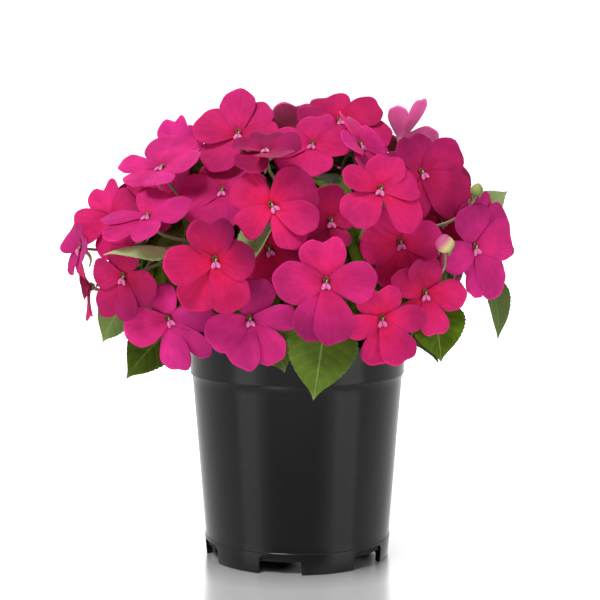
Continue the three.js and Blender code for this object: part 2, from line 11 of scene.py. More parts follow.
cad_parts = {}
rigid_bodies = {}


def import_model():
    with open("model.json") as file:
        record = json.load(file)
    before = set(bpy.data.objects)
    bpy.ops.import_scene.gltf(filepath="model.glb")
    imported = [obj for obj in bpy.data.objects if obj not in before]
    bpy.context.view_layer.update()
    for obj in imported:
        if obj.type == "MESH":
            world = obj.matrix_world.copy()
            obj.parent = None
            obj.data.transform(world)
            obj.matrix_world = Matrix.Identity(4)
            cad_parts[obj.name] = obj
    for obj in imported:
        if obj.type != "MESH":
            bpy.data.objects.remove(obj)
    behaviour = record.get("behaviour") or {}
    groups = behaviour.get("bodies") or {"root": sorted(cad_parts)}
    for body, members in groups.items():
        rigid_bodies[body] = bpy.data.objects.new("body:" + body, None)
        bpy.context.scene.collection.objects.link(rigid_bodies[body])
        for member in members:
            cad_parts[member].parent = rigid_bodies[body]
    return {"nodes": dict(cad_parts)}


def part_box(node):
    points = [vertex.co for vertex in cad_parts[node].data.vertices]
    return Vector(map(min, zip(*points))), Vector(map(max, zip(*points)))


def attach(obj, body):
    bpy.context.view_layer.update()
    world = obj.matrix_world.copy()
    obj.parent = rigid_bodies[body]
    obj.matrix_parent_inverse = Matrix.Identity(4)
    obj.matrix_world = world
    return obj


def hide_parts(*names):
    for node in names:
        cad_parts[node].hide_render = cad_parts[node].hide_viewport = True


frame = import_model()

bl_info = {
    "name": "Busy Lizzie",
    "version": (1, 0, 0),
    "blender": (4, 5, 0),
    "location": "3D View > Sidebar > Busy Lizzie",
    "description": "A busy lizzie in full bloom, in the black nursery pot that it grows in",
    "category": "Object",
}

# Forms are worked out in millimetres from the middle of the pot's foot, and scaled to metres last.
MM = 0.001
POT_LOW, POT_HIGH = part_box("pot")
POT_AXIS = Vector(((POT_LOW.x + POT_HIGH.x) / 2, (POT_LOW.y + POT_HIGH.y) / 2, 0))
TO_SCENE = Matrix.Translation(POT_AXIS) @ Matrix.Scale(MM, 4)

BLOOM_NODES = sorted(name for name in frame["nodes"] if name.startswith("bloom_"))
STEM_NODES = sorted(name for name in frame["nodes"] if name.startswith("leafy_stem_"))
BUD_NODES = sorted(name for name in frame["nodes"] if name.startswith("flower_bud_"))


# ------------------------------------------------------------------ where the plant's pieces are

GOLDEN_ANGLE = 137.508
DOME_CENTRE = Vector((-4, 0, 172))
DOME_RADII = Vector((98, 84, 61))

# Turn to the side, tilt up and turn round its own middle in degrees, span over the side petals in
# millimetres, and how far the petal tips reach forward: the blooms of the front, nearest first.
FRONT_BLOOMS = [
    (8, -8, 3, 44, 1), (-6, -10, 10, 49, 1), (4, 0, 5, 49, 1), (-2, 14, 36, 48, 1),
    (6, 26, -14, 44, 1), (-8, 34, -8, 42, -1), (-26, -4, -10, 41, 1), (2, -3, 0, 53, 1),
    (-14, -12, 28, 49, 0), (18, -4, 5, 43, 1), (26, 4, 12, 48, 1), (-24, 50, 8, 46, 1),
    (-26, 52, 0, 48, 1), (-8, 28, 0, 48, 1), (22, 18, 22, 54, 0), (10, 44, 6, 47, 1),
    (-34, 8, 30, 44, 1), (-62, 10, -20, 35, 5), (-14, 34, 10, 46, 1), (-4, 62, 0, 34, 1),
    (6, 0, 10, 46, 1), (62, 30, 0, 42, 1), (10, 20, 0, 44, 1), (46, 12, 0, 44, 1),
    (40, 12, 30, 42, 1), (76, -6, 0, 44, 1), (-6, 4, 20, 44, 1), (-76, -8, 0, 34, 4),
    (-46, 14, 10, 42, 1), (-34, 22, 0, 42, 1), (180, 44, 0, 46, 1), (150, 36, 20, 40, 7),
    (40, 30, 30, 44, 1),
]
# The blooms of the back: how far apart they stay, how many places of the spiral are tried, how far
# forward they may stand, the sine of the lowest place's height, and the seed of their differences.
BACK_SPACING = 31
BACK_TRIES = 70
BACK_START = -14
LOWEST_SINE = -0.62
BACK_SEED = 11

# How far a bloom's top petal reaches, as a share of its half span, how deep its throat is and how
# near its axis the throat's corners lie, how far behind the eye the sepals' cup ends, and how far a
# stalk's end stays from what it carries.
TOP_REACH = 0.8924
THROAT_PIT = 0.4
THROAT_NEAR = 0.3
EYE_BACK = 4.2
GAP = 0.3


class Draws:
    """Seeded draws between two numbers."""

    def __init__(self, state):
        self.state = state

    def __call__(self, low, high):
        self.state = (self.state * 1664525 + 1013904223) % 2**32
        return low + (high - low) * self.state / 2**32


def cad_points(node):
    """A CAD node's corners, in millimetres from the middle of the pot's foot."""
    mesh = frame["nodes"][node].data
    flat = np.empty(3 * len(mesh.vertices), np.float32)
    mesh.vertices.foreach_get("co", flat)
    return (flat.reshape(-1, 3).astype(float) - np.array(POT_AXIS)) / MM


def bloom_basis(yaw, pitch, roll):
    """A bloom's right, top and facing as the columns of a matrix."""
    turn, tilt = math.radians(yaw), math.radians(pitch)
    level = Vector((math.sin(turn), -math.cos(turn), 0))
    facing = level * math.cos(tilt) + Vector((0, 0, math.sin(tilt)))
    top = Vector((0, 0, math.cos(tilt))) - level * math.sin(tilt)
    top.rotate(Quaternion(facing, math.radians(roll)))
    return Matrix((top.cross(facing), top, facing)).transposed()


def eye_of(node, basis, span):
    """Where a CAD bloom's eye is, found from its corners in the bloom's own frame."""
    local = cad_points(node) @ np.array(basis)
    across = (local[:, 0].min() + local[:, 0].max()) / 2
    up = local[:, 1].max() - TOP_REACH * span / 2
    near = local[np.hypot(local[:, 0] - across, local[:, 1] - up) < THROAT_NEAR]
    if not len(near):
        raise RuntimeError(node + " has no throat where its petals say")
    return basis @ Vector((across, up, near[:, 2].max() + THROAT_PIT))


def dome_unit(sine, turn):
    """A point on the unit sphere from the sine of its height and its turn."""
    level = math.sqrt(1 - sine * sine)
    return Vector((level * math.cos(turn), level * math.sin(turn), sine))


def scaled(vector, factors):
    return Vector([a * b for a, b in zip(vector, factors)])


def bloom_places():
    """Every bloom's node, eye, basis, span and cup: the listed front, and a seeded spiral behind."""
    places = []
    nodes = iter(BLOOM_NODES)
    for yaw, pitch, roll, span, cup in FRONT_BLOOMS:
        node = next(nodes)
        basis = bloom_basis(yaw, pitch, roll)
        places.append((node, eye_of(node, basis, span), basis, span, cup))
    draw = Draws(BACK_SEED)
    taken = [place[1] for place in places]
    for k in range(BACK_TRIES):
        sine = 1 + (LOWEST_SINE - 1) * (k + 0.5) / BACK_TRIES
        unit = dome_unit(sine, math.radians(GOLDEN_ANGLE * k))
        at = scaled(unit, DOME_RADII) + DOME_CENTRE
        if at.y < BACK_START or any((other - at).length < BACK_SPACING for other in taken):
            continue
        node = next(nodes, None)
        if node is None:
            break
        taken.append(at)
        out = scaled(unit, [1 / r for r in DOME_RADII]).normalized()
        yaw = math.degrees(math.atan2(out.x, -out.y)) + draw(-14, 14)
        pitch = 0.8 * math.degrees(math.asin(out.z)) + draw(-8, 8)
        basis = bloom_basis(yaw, pitch, draw(-35, 35))
        span, cup = draw(48, 53), draw(0, 3)
        places.append((node, eye_of(node, basis, span), basis, span, cup))
    return places


# Buds that show colour: place, turn, tilt, length and radius. The second one is still green.
BUDS = [
    (Vector((73, -82, 172)), -10, 60, 12, 4.4),
    (Vector((90, -62, 199)), 20, 60, 9, 3),
]
BUD_RIPENESS = [1.0, 0.28]


def bud_places():
    """Each bud's node, foot, basis, length and radius. Its foot is the CAD corner furthest down it."""
    places = []
    for node, (at, yaw, pitch, length, radius) in zip(BUD_NODES, BUDS):
        basis = bloom_basis(yaw, pitch, 0)
        points = cad_points(node)
        foot = points[(points @ np.array(basis.col[2])).argmin()]
        places.append((node, Vector(foot), basis, length, radius))
    return places


# ------------------------------------------------------------------ stems, stalks and leaves

# Where the stems start in the soil, their radius at the foot and at the top, how many stand round
# the middle one, and where along them the stalks branch off.
STEM_START = 83
STEM_RADII = (4, 2)
OUTER_STEMS = 6
JOINTS = [0.97, 0.82, 0.66, 0.52, 0.4]
# The routes that a stalk may take: how far it swings aside and up, over which shares of its length
# it arrives and leaves, and how many of the nearest joints it may start from.
DETOURS = [
    (0, 0), (7, 0), (-7, 0), (0, 7), (0, -7), (12, 6),
    (-12, 6), (12, -8), (-12, -8), (20, 0), (-20, 0), (0, 18),
]
ARRIVALS = [0.38, 0.2, 0.6]
LEAVING_SHARE = 0.3
NEAREST_JOINTS = 14
# How much thicker a stalk is at its stem, where the frame's stalks have their middle rings of
# corners, the radii of bloom stalks and leaf stalks, how far a leaf's stalk runs on into its blade,
# and how thick the frame's blades are.
STALK_TAPER = 1.25
STALK_RINGS = [0.3, 0.6, 0.84]
PEDICEL_RADIUS = 0.8
PETIOLE_RADIUS = 1.2
ROOT_OVERLAP = 3
CAD_BLADE = 0.8

# Leaves of the front: base, tip, the way the upper face looks, width, droop and fold.
FRONT_LEAVES = [
    ((14, -82, 138), (8, -96, 100), (0.05, -1, 0.25), 36, 4, 3),
    ((-62, -70, 132), (-88, -72, 105), (-0.3, -0.8, 0.6), 33, 3, 3),
    ((-86, -50, 148), (-101, -48, 123), (-0.5, -0.8, 0.2), 26, 2, 2),
    ((68, -60, 145), (73, -66, 115), (0.2, -0.9, 0.3), 30, 3, 3),
    ((102, -20, 156), (107, -28, 122), (0.6, -0.8, 0.1), 18, 3, 3),
    ((92, -26, 186), (113, -26, 201), (0.2, -0.9, 0.3), 18, 2, 2),
    ((-64, -74, 171), (-94, -92, 169), (-0.1, -0.3, 1), 12, 3, 2),
    ((-14, -84, 186), (-24, -97, 164), (-0.6, -0.7, 0.3), 22, 2, 4),
    ((-16, -70, 138), (-6, -82, 112), (0, -0.9, 0.4), 32, 3, 2),
    ((32, -56, 188), (22, -70, 170), (0.2, -0.8, 0.5), 15, 2, 2),
    ((18, -54, 182), (27, -66, 206), (-0.2, -0.9, -0.2), 22, 2, 2),
]
# How light each of them is, the lightness also painting the light and shade that falls on it, how young,
# so pale, and how much further its edges stand up.
LEAF_LOOKS = [
    (1.05, 0.08, 0), (0.68, 0.0, 0), (1.0, 0.3, 0), (1.15, 0.0, 0), (0.8, 0.3, 0), (1.1, 0.75, 0),
    (1.5, 0.85, -8), (1.1, 0.6, 0), (1.0, 0.1, 0), (1.0, 0.4, 0), (1.0, 0.2, 0),
]
# A leaf of the front may have slipped up or down, and back in steps, to stay clear of the others.
LEAF_LIFTS = [0, 2, -2, 4, -4]
SLIP_STEP = 1.5
MOST_SLIPS = 12
# The leaves behind: how many places their spiral has, how deep in the dome each may lie, and how far
# forward they may stand on the unit sphere.
RULE_LEAVES = 64
LEAF_DEPTHS = [1.02, 0.96, 0.9, 0.84, 0.78, 0.72, 0.66]
FRONTMOST = -0.12


def spline_point(points, t):
    """A point on the centripetal Catmull-Rom curve through the points."""
    place = min(t, 1 - 1e-9) * (len(points) - 1)
    i = int(place)
    b, c = points[i], points[i + 1]
    a = points[i - 1] if i > 0 else 2 * b - c
    d = points[i + 2] if i + 2 < len(points) else 2 * c - b
    first, span, last = ((q - p).length ** 0.5 for p, q in ((a, b), (b, c), (c, d)))
    start = ((b - a) / first - (c - a) / (first + span) + (c - b) / span) * span
    end = ((c - b) / span - (d - b) / (span + last) + (d - c) / last) * span
    s = place - i
    return b + start * s + (3 * (c - b) - 2 * start - end) * s**2 + (2 * (b - c) + start + end) * s**3


def spline_tangent(points, t):
    return (spline_point(points, t + 1e-4) - spline_point(points, t - 1e-4)).normalized()


def stem_paths():
    """The points that each main stem runs through: one upright, and a ring that leans out."""
    paths = [[(2, 4, 0), (3, 6, 40), (0, 4, 78), (-2, 2, 110)]]
    for i in range(OUTER_STEMS):
        turn = math.radians(-90 + 360 / OUTER_STEMS * (i + 0.5))
        ring = [(20, 0), (24, 34), (38, 64), (58, 88)]
        paths.append([(r * math.cos(turn), r * math.sin(turn), z) for r, z in ring])
    return [[Vector((x, y, z + STEM_START)) for x, y, z in path] for path in paths]


def bezier(root, leave, arrive, end, t):
    """A point on the curve from root to end that its two handles bend."""
    s = 1 - t
    return root * s**3 + leave * 3 * s * s * t + arrive * 3 * s * t * t + end * t**3


def stalk_radius(radius, share):
    """A stalk's radius this share of the way from its stem to its end."""
    return radius * (STALK_TAPER - (STALK_TAPER - 1) * share)


class Leaf:
    """A leaf's place and form: the upper face looks towards `up`."""

    lightness, young = 0.85, 0.0

    def __init__(self, base, tip, up, width, droop, fold):
        self.base, self.tip = Vector(base), Vector(tip)
        self.width, self.droop, self.fold = width, droop, fold
        self.length = (self.tip - self.base).length
        self.along = (self.tip - self.base).normalized()
        self.across = self.along.cross(Vector(up)).normalized()
        self.normal = self.across.cross(self.along)

    def moved(self, shift):
        return Leaf(self.base + shift, self.tip + shift, self.normal, self.width, self.droop, self.fold)


def rule_leaf(k, depth, count=RULE_LEAVES, start=40):
    """Leaf number k of a spiral over the dome, just inside the blooms and hanging outwards."""
    sine = 0.96 - 1.76 * (k + 0.5) / count
    turn = math.radians(GOLDEN_ANGLE * k + start)
    unit = dome_unit(sine, turn)
    middle = scaled(unit, DOME_RADII) * depth + DOME_CENTRE
    out = scaled(unit, [1 / r for r in DOME_RADII]).normalized()
    crown = max(sine, 0)
    along = Vector((math.cos(turn), math.sin(turn), 0)) * (0.4 + 0.6 * crown)
    along += Vector((-math.sin(turn), math.cos(turn), 0)) * 0.5 * math.sin(2.4 * k)
    along.z = -0.8 + 0.6 * crown
    along.normalize()
    length = 46 + 8 * math.sin(1.7 * k)
    ends = middle - along * length / 2, middle + along * length / 2
    return Leaf(*ends, out + Vector((0, 0, 0.25)), 0.62 * length, 4, 2.5), unit


class GreenParts:
    """The leafy stems of the frame: which leaves grew, and the route of every stalk."""

    def __init__(self, blooms, buds):
        points = [(p, i) for i, node in enumerate(STEM_NODES) for p in cad_points(node)]
        self.tree = KDTree(len(points))
        for p, i in points:
            self.tree.insert(p, i)
        self.tree.balance()
        self.paths = stem_paths()
        self.joints = [(i, t, spline_point(path, t)) for i, path in enumerate(self.paths) for t in JOINTS]
        self.stalks = [[] for _ in self.paths]
        self.leaves = [[] for _ in self.paths]
        for leaf in self.grown_leaves():
            stem = self.add_stalk(leaf.base + leaf.along * ROOT_OVERLAP, leaf.along, PETIOLE_RADIUS)
            self.leaves[stem].append(leaf)
        for _, eye, basis, _, _ in blooms:
            self.add_stalk(eye - basis.col[2] * (EYE_BACK + GAP), basis.col[2], PEDICEL_RADIUS)
        for _, foot, basis, _, _ in buds:
            self.add_stalk(foot - basis.col[2] * GAP, basis.col[2], PEDICEL_RADIUS)

    def has_corner(self, point):
        return self.tree.find(point)[2] < 0.08

    def has_tip(self, leaf):
        thick = leaf.normal * CAD_BLADE / 2
        return self.has_corner(leaf.tip + thick) and self.has_corner(leaf.tip - thick)

    def grown_leaves(self):
        """The leaves whose tips are corners of the frame's leafy stems."""
        shifts = [Vector((0, SLIP_STEP * i, lift)) for lift in LEAF_LIFTS for i in range(MOST_SLIPS)]
        families = [[Leaf(*row).moved(shift) for shift in shifts] for row in FRONT_LEAVES]
        for k in range(RULE_LEAVES):
            if rule_leaf(k, 1)[1].y >= FRONTMOST:
                families.append([rule_leaf(k, depth)[0] for depth in LEAF_DEPTHS])
        found = [next(filter(self.has_tip, family), None) for family in families]
        if None in found[:len(FRONT_LEAVES)]:
            raise RuntimeError("a leaf of the front isn't in the frame")
        for leaf, (lightness, young, lift) in zip(found, LEAF_LOOKS):
            leaf.lightness, leaf.young, leaf.fold = lightness, young, leaf.fold + lift
        return [leaf for leaf in found if leaf]

    def ring_corners(self, point, radius):
        """How many corners of the frame's stems lie on a ring of this radius round the point."""
        return sum(d > radius - 0.04 for _, _, d in self.tree.find_range(point, radius + 0.04))

    def add_stalk(self, end, facing, radius):
        """Finds the route that the frame's stalk to this end takes, and returns its stem's number."""
        side = facing.cross(Vector((0, 0, 1))).normalized()
        over = side.cross(facing)
        near = sorted(self.joints, key=lambda joint: (joint[2] - end).length)[:NEAREST_JOINTS]
        best = None
        for share in ARRIVALS:
            for across, above in DETOURS:
                for stem, t, root in near:
                    far = (root - end).length
                    leave = root + spline_tangent(self.paths[stem], t) * LEAVING_SHARE * far
                    arrive = end - facing * share * far + side * across + over * above
                    route = (root, leave, arrive, end)
                    corners = sum(self.ring_corners(bezier(*route, s), stalk_radius(radius, i / 4))
                                  for i, s in enumerate(STALK_RINGS, 1))
                    if best is None or corners > best[0]:
                        best = corners, stem, route
        if best[0] < 3:
            raise RuntimeError("no stalk of the frame reaches %s" % list(end))
        self.stalks[best[1]].append((best[2], radius))
        return best[1]


# ------------------------------------------------------------------ materials

# How far light spreads in living cells, in metres, and the grain of each pattern, in millimetres.
CELL_SCATTER = 1.0 * MM
PETAL_MOTTLE = 11
LEAF_MOTTLE = 6
LEAF_CELLS = 1.1
BUD_MOTTLE = 4
PLASTIC_CLOUD = 24
PLASTIC_GRIT = 0.35
PEAT_CRUMBS = 2.2
CLOTH_WEAVE = 4
# How strongly the plastic bends light, and the colour of young leaves.
POLYPROPYLENE_IOR = 1.49
YOUNG_GREEN = "#98AC77"
# How many side veins each half of a leaf has, and how much nearer the leaf's tip each one ends than
# it starts, as a share of the leaf's length.
SIDE_VEINS = 8
VEIN_SLANT = 0.21


def linear(hex_colour):
    """A six-digit sRGB hex colour as linear red, green, blue and full alpha."""
    shares = [int(hex_colour[i:i + 2], 16) / 255 for i in (1, 3, 5)]
    return tuple(s / 12.92 if s <= 0.04045 else ((s + 0.055) / 1.055) ** 2.4 for s in shares) + (1,)


def new_material(name):
    """An empty material with a Principled shader on its output."""
    material = bpy.data.materials.new(name)
    material.use_nodes = True
    return material, material.node_tree.nodes["Principled BSDF"]


def set_inputs(material, node, inputs):
    """Sets a node's inputs to values, or links them to the outputs of other nodes."""
    for name, value in inputs.items():
        if isinstance(value, bpy.types.NodeSocket):
            material.node_tree.links.new(value, node.inputs[name])
        else:
            node.inputs[name].default_value = value


def add_node(material, kind, inputs=(), stops=(), **settings):
    """Adds one node with its settings and inputs, and returns its outputs. The stops are a colour
    ramp's: a place and a hex colour each."""
    node = material.node_tree.nodes.new("ShaderNode" + kind)
    for name, value in settings.items():
        setattr(node, name, value)
    for _ in stops[2:]:
        node.color_ramp.elements.new(0.5)
    for i, (place, colour) in enumerate(stops):
        node.color_ramp.elements[i].position = place
        node.color_ramp.elements[i].color = linear(colour)
    set_inputs(material, node, dict(inputs))
    return node.outputs


def petal_skin(name, centre, middle, edge, cool, rough, gain=1.0):
    """Living petal skin, soft as velvet: fine streaks run out from the eye, which is redder than the
    rim, and the cells scatter light, so it looks lit from within and never glossy. The gain stands
    for the light that comes through to the underside."""
    material, shader = new_material(name)
    grid = add_node(material, "UVMap", uv_map="UVMap")["UV"]
    along = add_node(material, "SeparateXYZ", {0: grid})["Y"]
    streak_grid = add_node(material, "Mapping", {"Vector": grid, "Scale": (26, 2.2, 1)})[0]
    streaks = add_node(material, "TexNoise", {"Vector": streak_grid, "Scale": 1.0, "Detail": 3})["Fac"]
    place = add_node(material, "TexCoord")["Object"]
    mottle = add_node(material, "TexNoise", {
        "Vector": place, "Scale": 1 / (PETAL_MOTTLE * MM), "Detail": 3})["Fac"]
    uneven = add_node(material, "Math", {0: mottle, 1: 0.16, 2: -0.08}, operation="MULTIPLY_ADD")[0]
    outwards = add_node(material, "Math", {0: along, 1: uneven}, operation="ADD")[0]
    colour = add_node(material, "ValToRGB", {"Fac": outwards}, [
        (0.0, centre), (0.16, centre), (0.5, middle), (1.0, edge)])["Color"]
    # This attribute holds each bloom's pinkness and, added to it, the purple of painted shade.
    pink_and_painted_shade = add_node(material, "Attribute", attribute_name="pink_and_painted_shade")["Fac"]
    colour = add_node(material, "Mix", {0: pink_and_painted_shade, 6: colour, 7: linear(cool)}, data_type="RGBA")[2]
    # This attribute holds each petal's tone together with painted light and painted shade.
    light = add_node(material, "Attribute", attribute_name="lightness")["Fac"]
    # The streaks, the uneven flush, the colour darkening towards the eye, and a painted highlight on the
    # thin rim where light shines through it.
    for pattern, start, end, low, high in (
            (streaks, 0.35, 0.65, 1.04 * gain, 0.91 * gain), (mottle, 0.35, 0.65, 0.84, 1.12),
            (along, 0.1, 0.45, 0.84, 1.0), (along, 0.945, 0.985, 1.0, 1.22)):
        factor = add_node(material, "MapRange", {
            "Value": pattern, "From Min": start, "From Max": end, "To Min": low, "To Max": high})[0]
        light = add_node(material, "Math", {0: light, 1: factor}, operation="MULTIPLY")[0]
    colour = add_node(material, "VectorMath", {0: colour, "Scale": light}, operation="SCALE")[0]
    bump = add_node(material, "Bump", {"Height": streaks, "Strength": 0.4, "Distance": 0.3 * MM})[0]
    set_inputs(material, shader, {
        "Base Color": colour, "Roughness": rough, "Normal": bump, "Subsurface Weight": 0.1,
        "Subsurface Scale": CELL_SCATTER, "Subsurface Radius": (1.0, 0.2, 0.3),
        "Specular IOR Level": 0.05})
    return material


def leaf_skin(name, dark, light, rib, rough):
    """Busy lizzie leaf: soft and a little waxy, darker between the side veins, with a pale midrib.
    The underside has the same veins on a paler, duller ground."""
    material, shader = new_material(name)
    grid = add_node(material, "UVMap", uv_map="UVMap")["UV"]
    across, along, _ = add_node(material, "SeparateXYZ", {0: grid})
    offset = add_node(material, "Math", {0: across, 1: 0.5}, operation="SUBTRACT")[0]
    aside = add_node(material, "Math", {0: offset}, operation="ABSOLUTE")[0]
    place = add_node(material, "TexCoord")["Object"]
    mottle = add_node(material, "TexNoise", {
        "Vector": place, "Scale": 1 / (LEAF_MOTTLE * MM), "Detail": 4})["Fac"]
    colour = add_node(material, "ValToRGB", {"Fac": mottle}, [(0.3, dark), (0.7, light)])["Color"]
    young = add_node(material, "Attribute", attribute_name="young")["Fac"]
    colour = add_node(material, "Mix", {
        0: young, 6: colour, 7: linear(YOUNG_GREEN)}, data_type="RGBA")[2]
    slanted = add_node(material, "Math", {
        0: aside, 1: -2 * VEIN_SLANT, 2: along}, operation="MULTIPLY_ADD")[0]
    phase = add_node(material, "Math", {0: slanted, 1: SIDE_VEINS}, operation="MULTIPLY")[0]
    wave = add_node(material, "Math", {0: phase, 1: 0.5}, operation="PINGPONG")[0]
    # The side veins, and the stronger midrib.
    for pattern, start, end, most in ((wave, 0.0, 0.09, 0.09), (aside, 0.005, 0.02, 0.5)):
        share = add_node(material, "MapRange", {
            "Value": pattern, "From Min": start, "From Max": end, "To Min": most, "To Max": 0.0})[0]
        colour = add_node(material, "Mix", {0: share, 6: colour, 7: linear(rib)}, data_type="RGBA")[2]
    # This attribute holds the leaf's tone together with painted light and painted shade.
    lightness = add_node(material, "Attribute", attribute_name="lightness")["Fac"]
    colour = add_node(material, "VectorMath", {0: colour, "Scale": lightness}, operation="SCALE")[0]
    cells = add_node(material, "TexNoise", {
        "Vector": place, "Scale": 1 / (LEAF_CELLS * MM), "Detail": 3})["Fac"]
    height = add_node(material, "Math", {0: wave, 1: 3.0, 2: cells}, operation="MULTIPLY_ADD")[0]
    bump = add_node(material, "Bump", {"Height": height, "Strength": 0.45, "Distance": 0.25 * MM})[0]
    set_inputs(material, shader, {
        "Base Color": colour, "Roughness": rough, "Normal": bump, "Subsurface Weight": 0.08,
        "Subsurface Scale": CELL_SCATTER, "Specular IOR Level": 0.05})
    return material


def fleshy_skin(name, first, second, rough, size=2.5):
    """Juicy, faintly glassy plant tissue of stalks, throats and sepals, with a flushed mottle."""
    material, shader = new_material(name)
    place = add_node(material, "TexCoord")["Object"]
    mottle = add_node(material, "TexNoise", {"Vector": place, "Scale": 1 / (size * MM), "Detail": 3})["Fac"]
    colour = add_node(material, "ValToRGB", {"Fac": mottle}, [(0.35, first), (0.65, second)])["Color"]
    bump = add_node(material, "Bump", {"Height": mottle, "Strength": 0.2, "Distance": 0.15 * MM})[0]
    set_inputs(material, shader, {
        "Base Color": colour, "Roughness": rough, "Normal": bump, "Subsurface Weight": 0.15,
        "Subsurface Scale": CELL_SCATTER})
    return material


def bud_skin():
    """Bud skin: green by the stalk, then cream, and pink where the folded petals come through."""
    material, shader = new_material("bud_skin")
    blush = add_node(material, "Attribute", attribute_name="blush")["Fac"]
    place = add_node(material, "TexCoord")["Object"]
    mottle = add_node(material, "TexNoise", {
        "Vector": place, "Scale": 1 / (BUD_MOTTLE * MM), "Detail": 3})["Fac"]
    uneven = add_node(material, "Math", {0: mottle, 1: 0.1, 2: blush}, operation="MULTIPLY_ADD")[0]
    colour = add_node(material, "ValToRGB", {"Fac": uneven}, [
        (0.2, "#5F7434"), (0.4, "#A9B066"), (0.62, "#D8C98C"), (0.95, "#C25888")])["Color"]
    set_inputs(material, shader, {
        "Base Color": colour, "Roughness": 0.5, "Subsurface Weight": 0.15,
        "Subsurface Scale": CELL_SCATTER, "Specular IOR Level": 0.2})
    return material


def moulded_polypropylene(colour):
    """Injection-moulded black polypropylene, off an eroded steel mould: a satin skin that spreads a
    highlight softly, with a grit too fine to see, drawn at a third of a millimetre so that it shows."""
    material, shader = new_material("moulded_black_polypropylene")
    place = add_node(material, "TexCoord")["Object"]
    cloud = add_node(material, "TexNoise", {"Vector": place, "Scale": 1 / (PLASTIC_CLOUD * MM)})["Fac"]
    grit = add_node(material, "TexNoise", {"Vector": place, "Scale": 1 / (PLASTIC_GRIT * MM)})["Fac"]
    base = add_node(material, "ValToRGB", {"Fac": cloud}, [(0.3, colour), (0.7, "#111213")])["Color"]
    rough = add_node(material, "MapRange", {"Value": cloud, "To Min": 0.15, "To Max": 0.18})[0]
    bump = add_node(material, "Bump", {"Height": grit, "Strength": 0.25, "Distance": 0.03 * MM})[0]
    set_inputs(material, shader, {
        "Base Color": base, "Roughness": rough, "Normal": bump, "IOR": POLYPROPYLENE_IOR,
        "Specular IOR Level": 0.18})
    return material


def peat_soil():
    """Moist peat with bits of bark: dark brown, matt and crumbly, and painted black towards the bottom as
    the shade inside the pot.
    """
    material, shader = new_material("peat_potting_soil")
    place = add_node(material, "TexCoord")["Object"]
    crumbs = add_node(material, "TexNoise", {
        "Vector": place, "Scale": 1 / (PEAT_CRUMBS * MM), "Detail": 5})["Fac"]
    colour = add_node(material, "ValToRGB", {"Fac": crumbs}, [
        (0.3, "#1B120C"), (0.55, "#3A281B"), (0.75, "#6A4C35")])["Color"]
    height = add_node(material, "SeparateXYZ", {0: place})["Z"]
    # Painted shade: the soil darkens to black towards the bottom of the pot.
    painted_dark_below = add_node(material, "MapRange", {
        "Value": height, "From Min": 30 * MM, "From Max": 90 * MM, "To Min": 0.03, "To Max": 1.0})[0]
    colour = add_node(material, "VectorMath", {0: colour, "Scale": painted_dark_below}, operation="SCALE")[0]
    bump = add_node(material, "Bump", {"Height": crumbs, "Strength": 0.8, "Distance": 1.0 * MM})[0]
    set_inputs(material, shader, {"Base Color": colour, "Roughness": 0.95, "Normal": bump})
    return material


# ------------------------------------------------------------------ mesh helpers

def deselect_all():
    for thing in bpy.context.view_layer.objects:
        thing.select_set(False)


def activate(thing):
    deselect_all()
    thing.select_set(True)
    bpy.context.view_layer.objects.active = thing


def points_of(thing):
    flat = np.empty(3 * len(thing.data.vertices), np.float32)
    thing.data.vertices.foreach_get("co", flat)
    return flat.reshape(-1, 3).astype(float)


def set_points(thing, points):
    thing.data.vertices.foreach_set("co", np.asarray(points, np.float32).ravel())
    thing.data.update()


def grid_blank(name, columns, rows):
    """A flat grid from -1 to 1 both ways, with its own UV map, to be shaped."""
    deselect_all()
    bpy.ops.mesh.primitive_grid_add(x_subdivisions=columns, y_subdivisions=rows, size=2)
    made = bpy.context.active_object
    made.name = name
    return made


def copy_of(thing, name):
    made = thing.copy()
    made.data = thing.data.copy()
    made.name = name
    bpy.context.scene.collection.objects.link(made)
    return made


def discard(thing):
    bpy.data.objects.remove(thing, do_unlink=True)


def apply_modifier(thing, kind, **settings):
    modifier = thing.modifiers.new(kind.title(), kind)
    for name, value in settings.items():
        setattr(modifier, name, value)
    activate(thing)
    bpy.ops.object.modifier_apply(modifier=modifier.name)


def joined(pieces, name):
    deselect_all()
    for piece in pieces:
        piece.select_set(True)
    bpy.context.view_layer.objects.active = pieces[0]
    bpy.ops.object.join()
    made = bpy.context.active_object
    made.name = name
    made.data.name = name
    return made


def revolved(name, profile, sides):
    """A closed profile of radius and height turned round Z: a grid rolled up, with its seam closed."""
    made = grid_blank(name, sides, len(profile) - 1)
    points = points_of(made)
    turn = np.round((points[:, 0] + 1) / 2 * sides) / sides * 2 * math.pi
    row = np.round((points[:, 1] + 1) / 2 * (len(profile) - 1)).astype(int)
    radius, height = np.array(profile, float)[row].T
    set_points(made, np.column_stack([radius * np.cos(turn), radius * np.sin(turn), height]))
    close_seams(made, 1e-5)
    return made


def close_seams(thing, distance):
    activate(thing)
    bpy.ops.object.mode_set(mode="EDIT")
    bpy.ops.mesh.select_all(action="SELECT")
    bpy.ops.mesh.remove_doubles(threshold=distance)
    bpy.ops.mesh.normals_make_consistent(inside=False)
    bpy.ops.object.mode_set(mode="OBJECT")


def smooth(thing, angle=180):
    activate(thing)
    if angle >= 180:
        bpy.ops.object.shade_smooth()
    else:
        bpy.ops.object.shade_smooth_by_angle(angle=math.radians(angle))


def set_material(thing, *materials):
    thing.data.materials.clear()
    for material in materials:
        thing.data.materials.append(material)


def mark(thing, name, values):
    """Gives the corners an attribute that their material reads: one value for all, or one each."""
    layer = thing.data.attributes.new(name, "FLOAT", "POINT")
    count = len(thing.data.vertices)
    layer.data.foreach_set("value", (np.zeros(count) + values).astype(np.float32))


def finish_piece(piece, slot, *nodes):
    """A made piece rides on the plant's one body, and stands for its CAD nodes."""
    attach(piece, "root")
    if nodes:
        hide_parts(*nodes)


# ------------------------------------------------------------------ settings

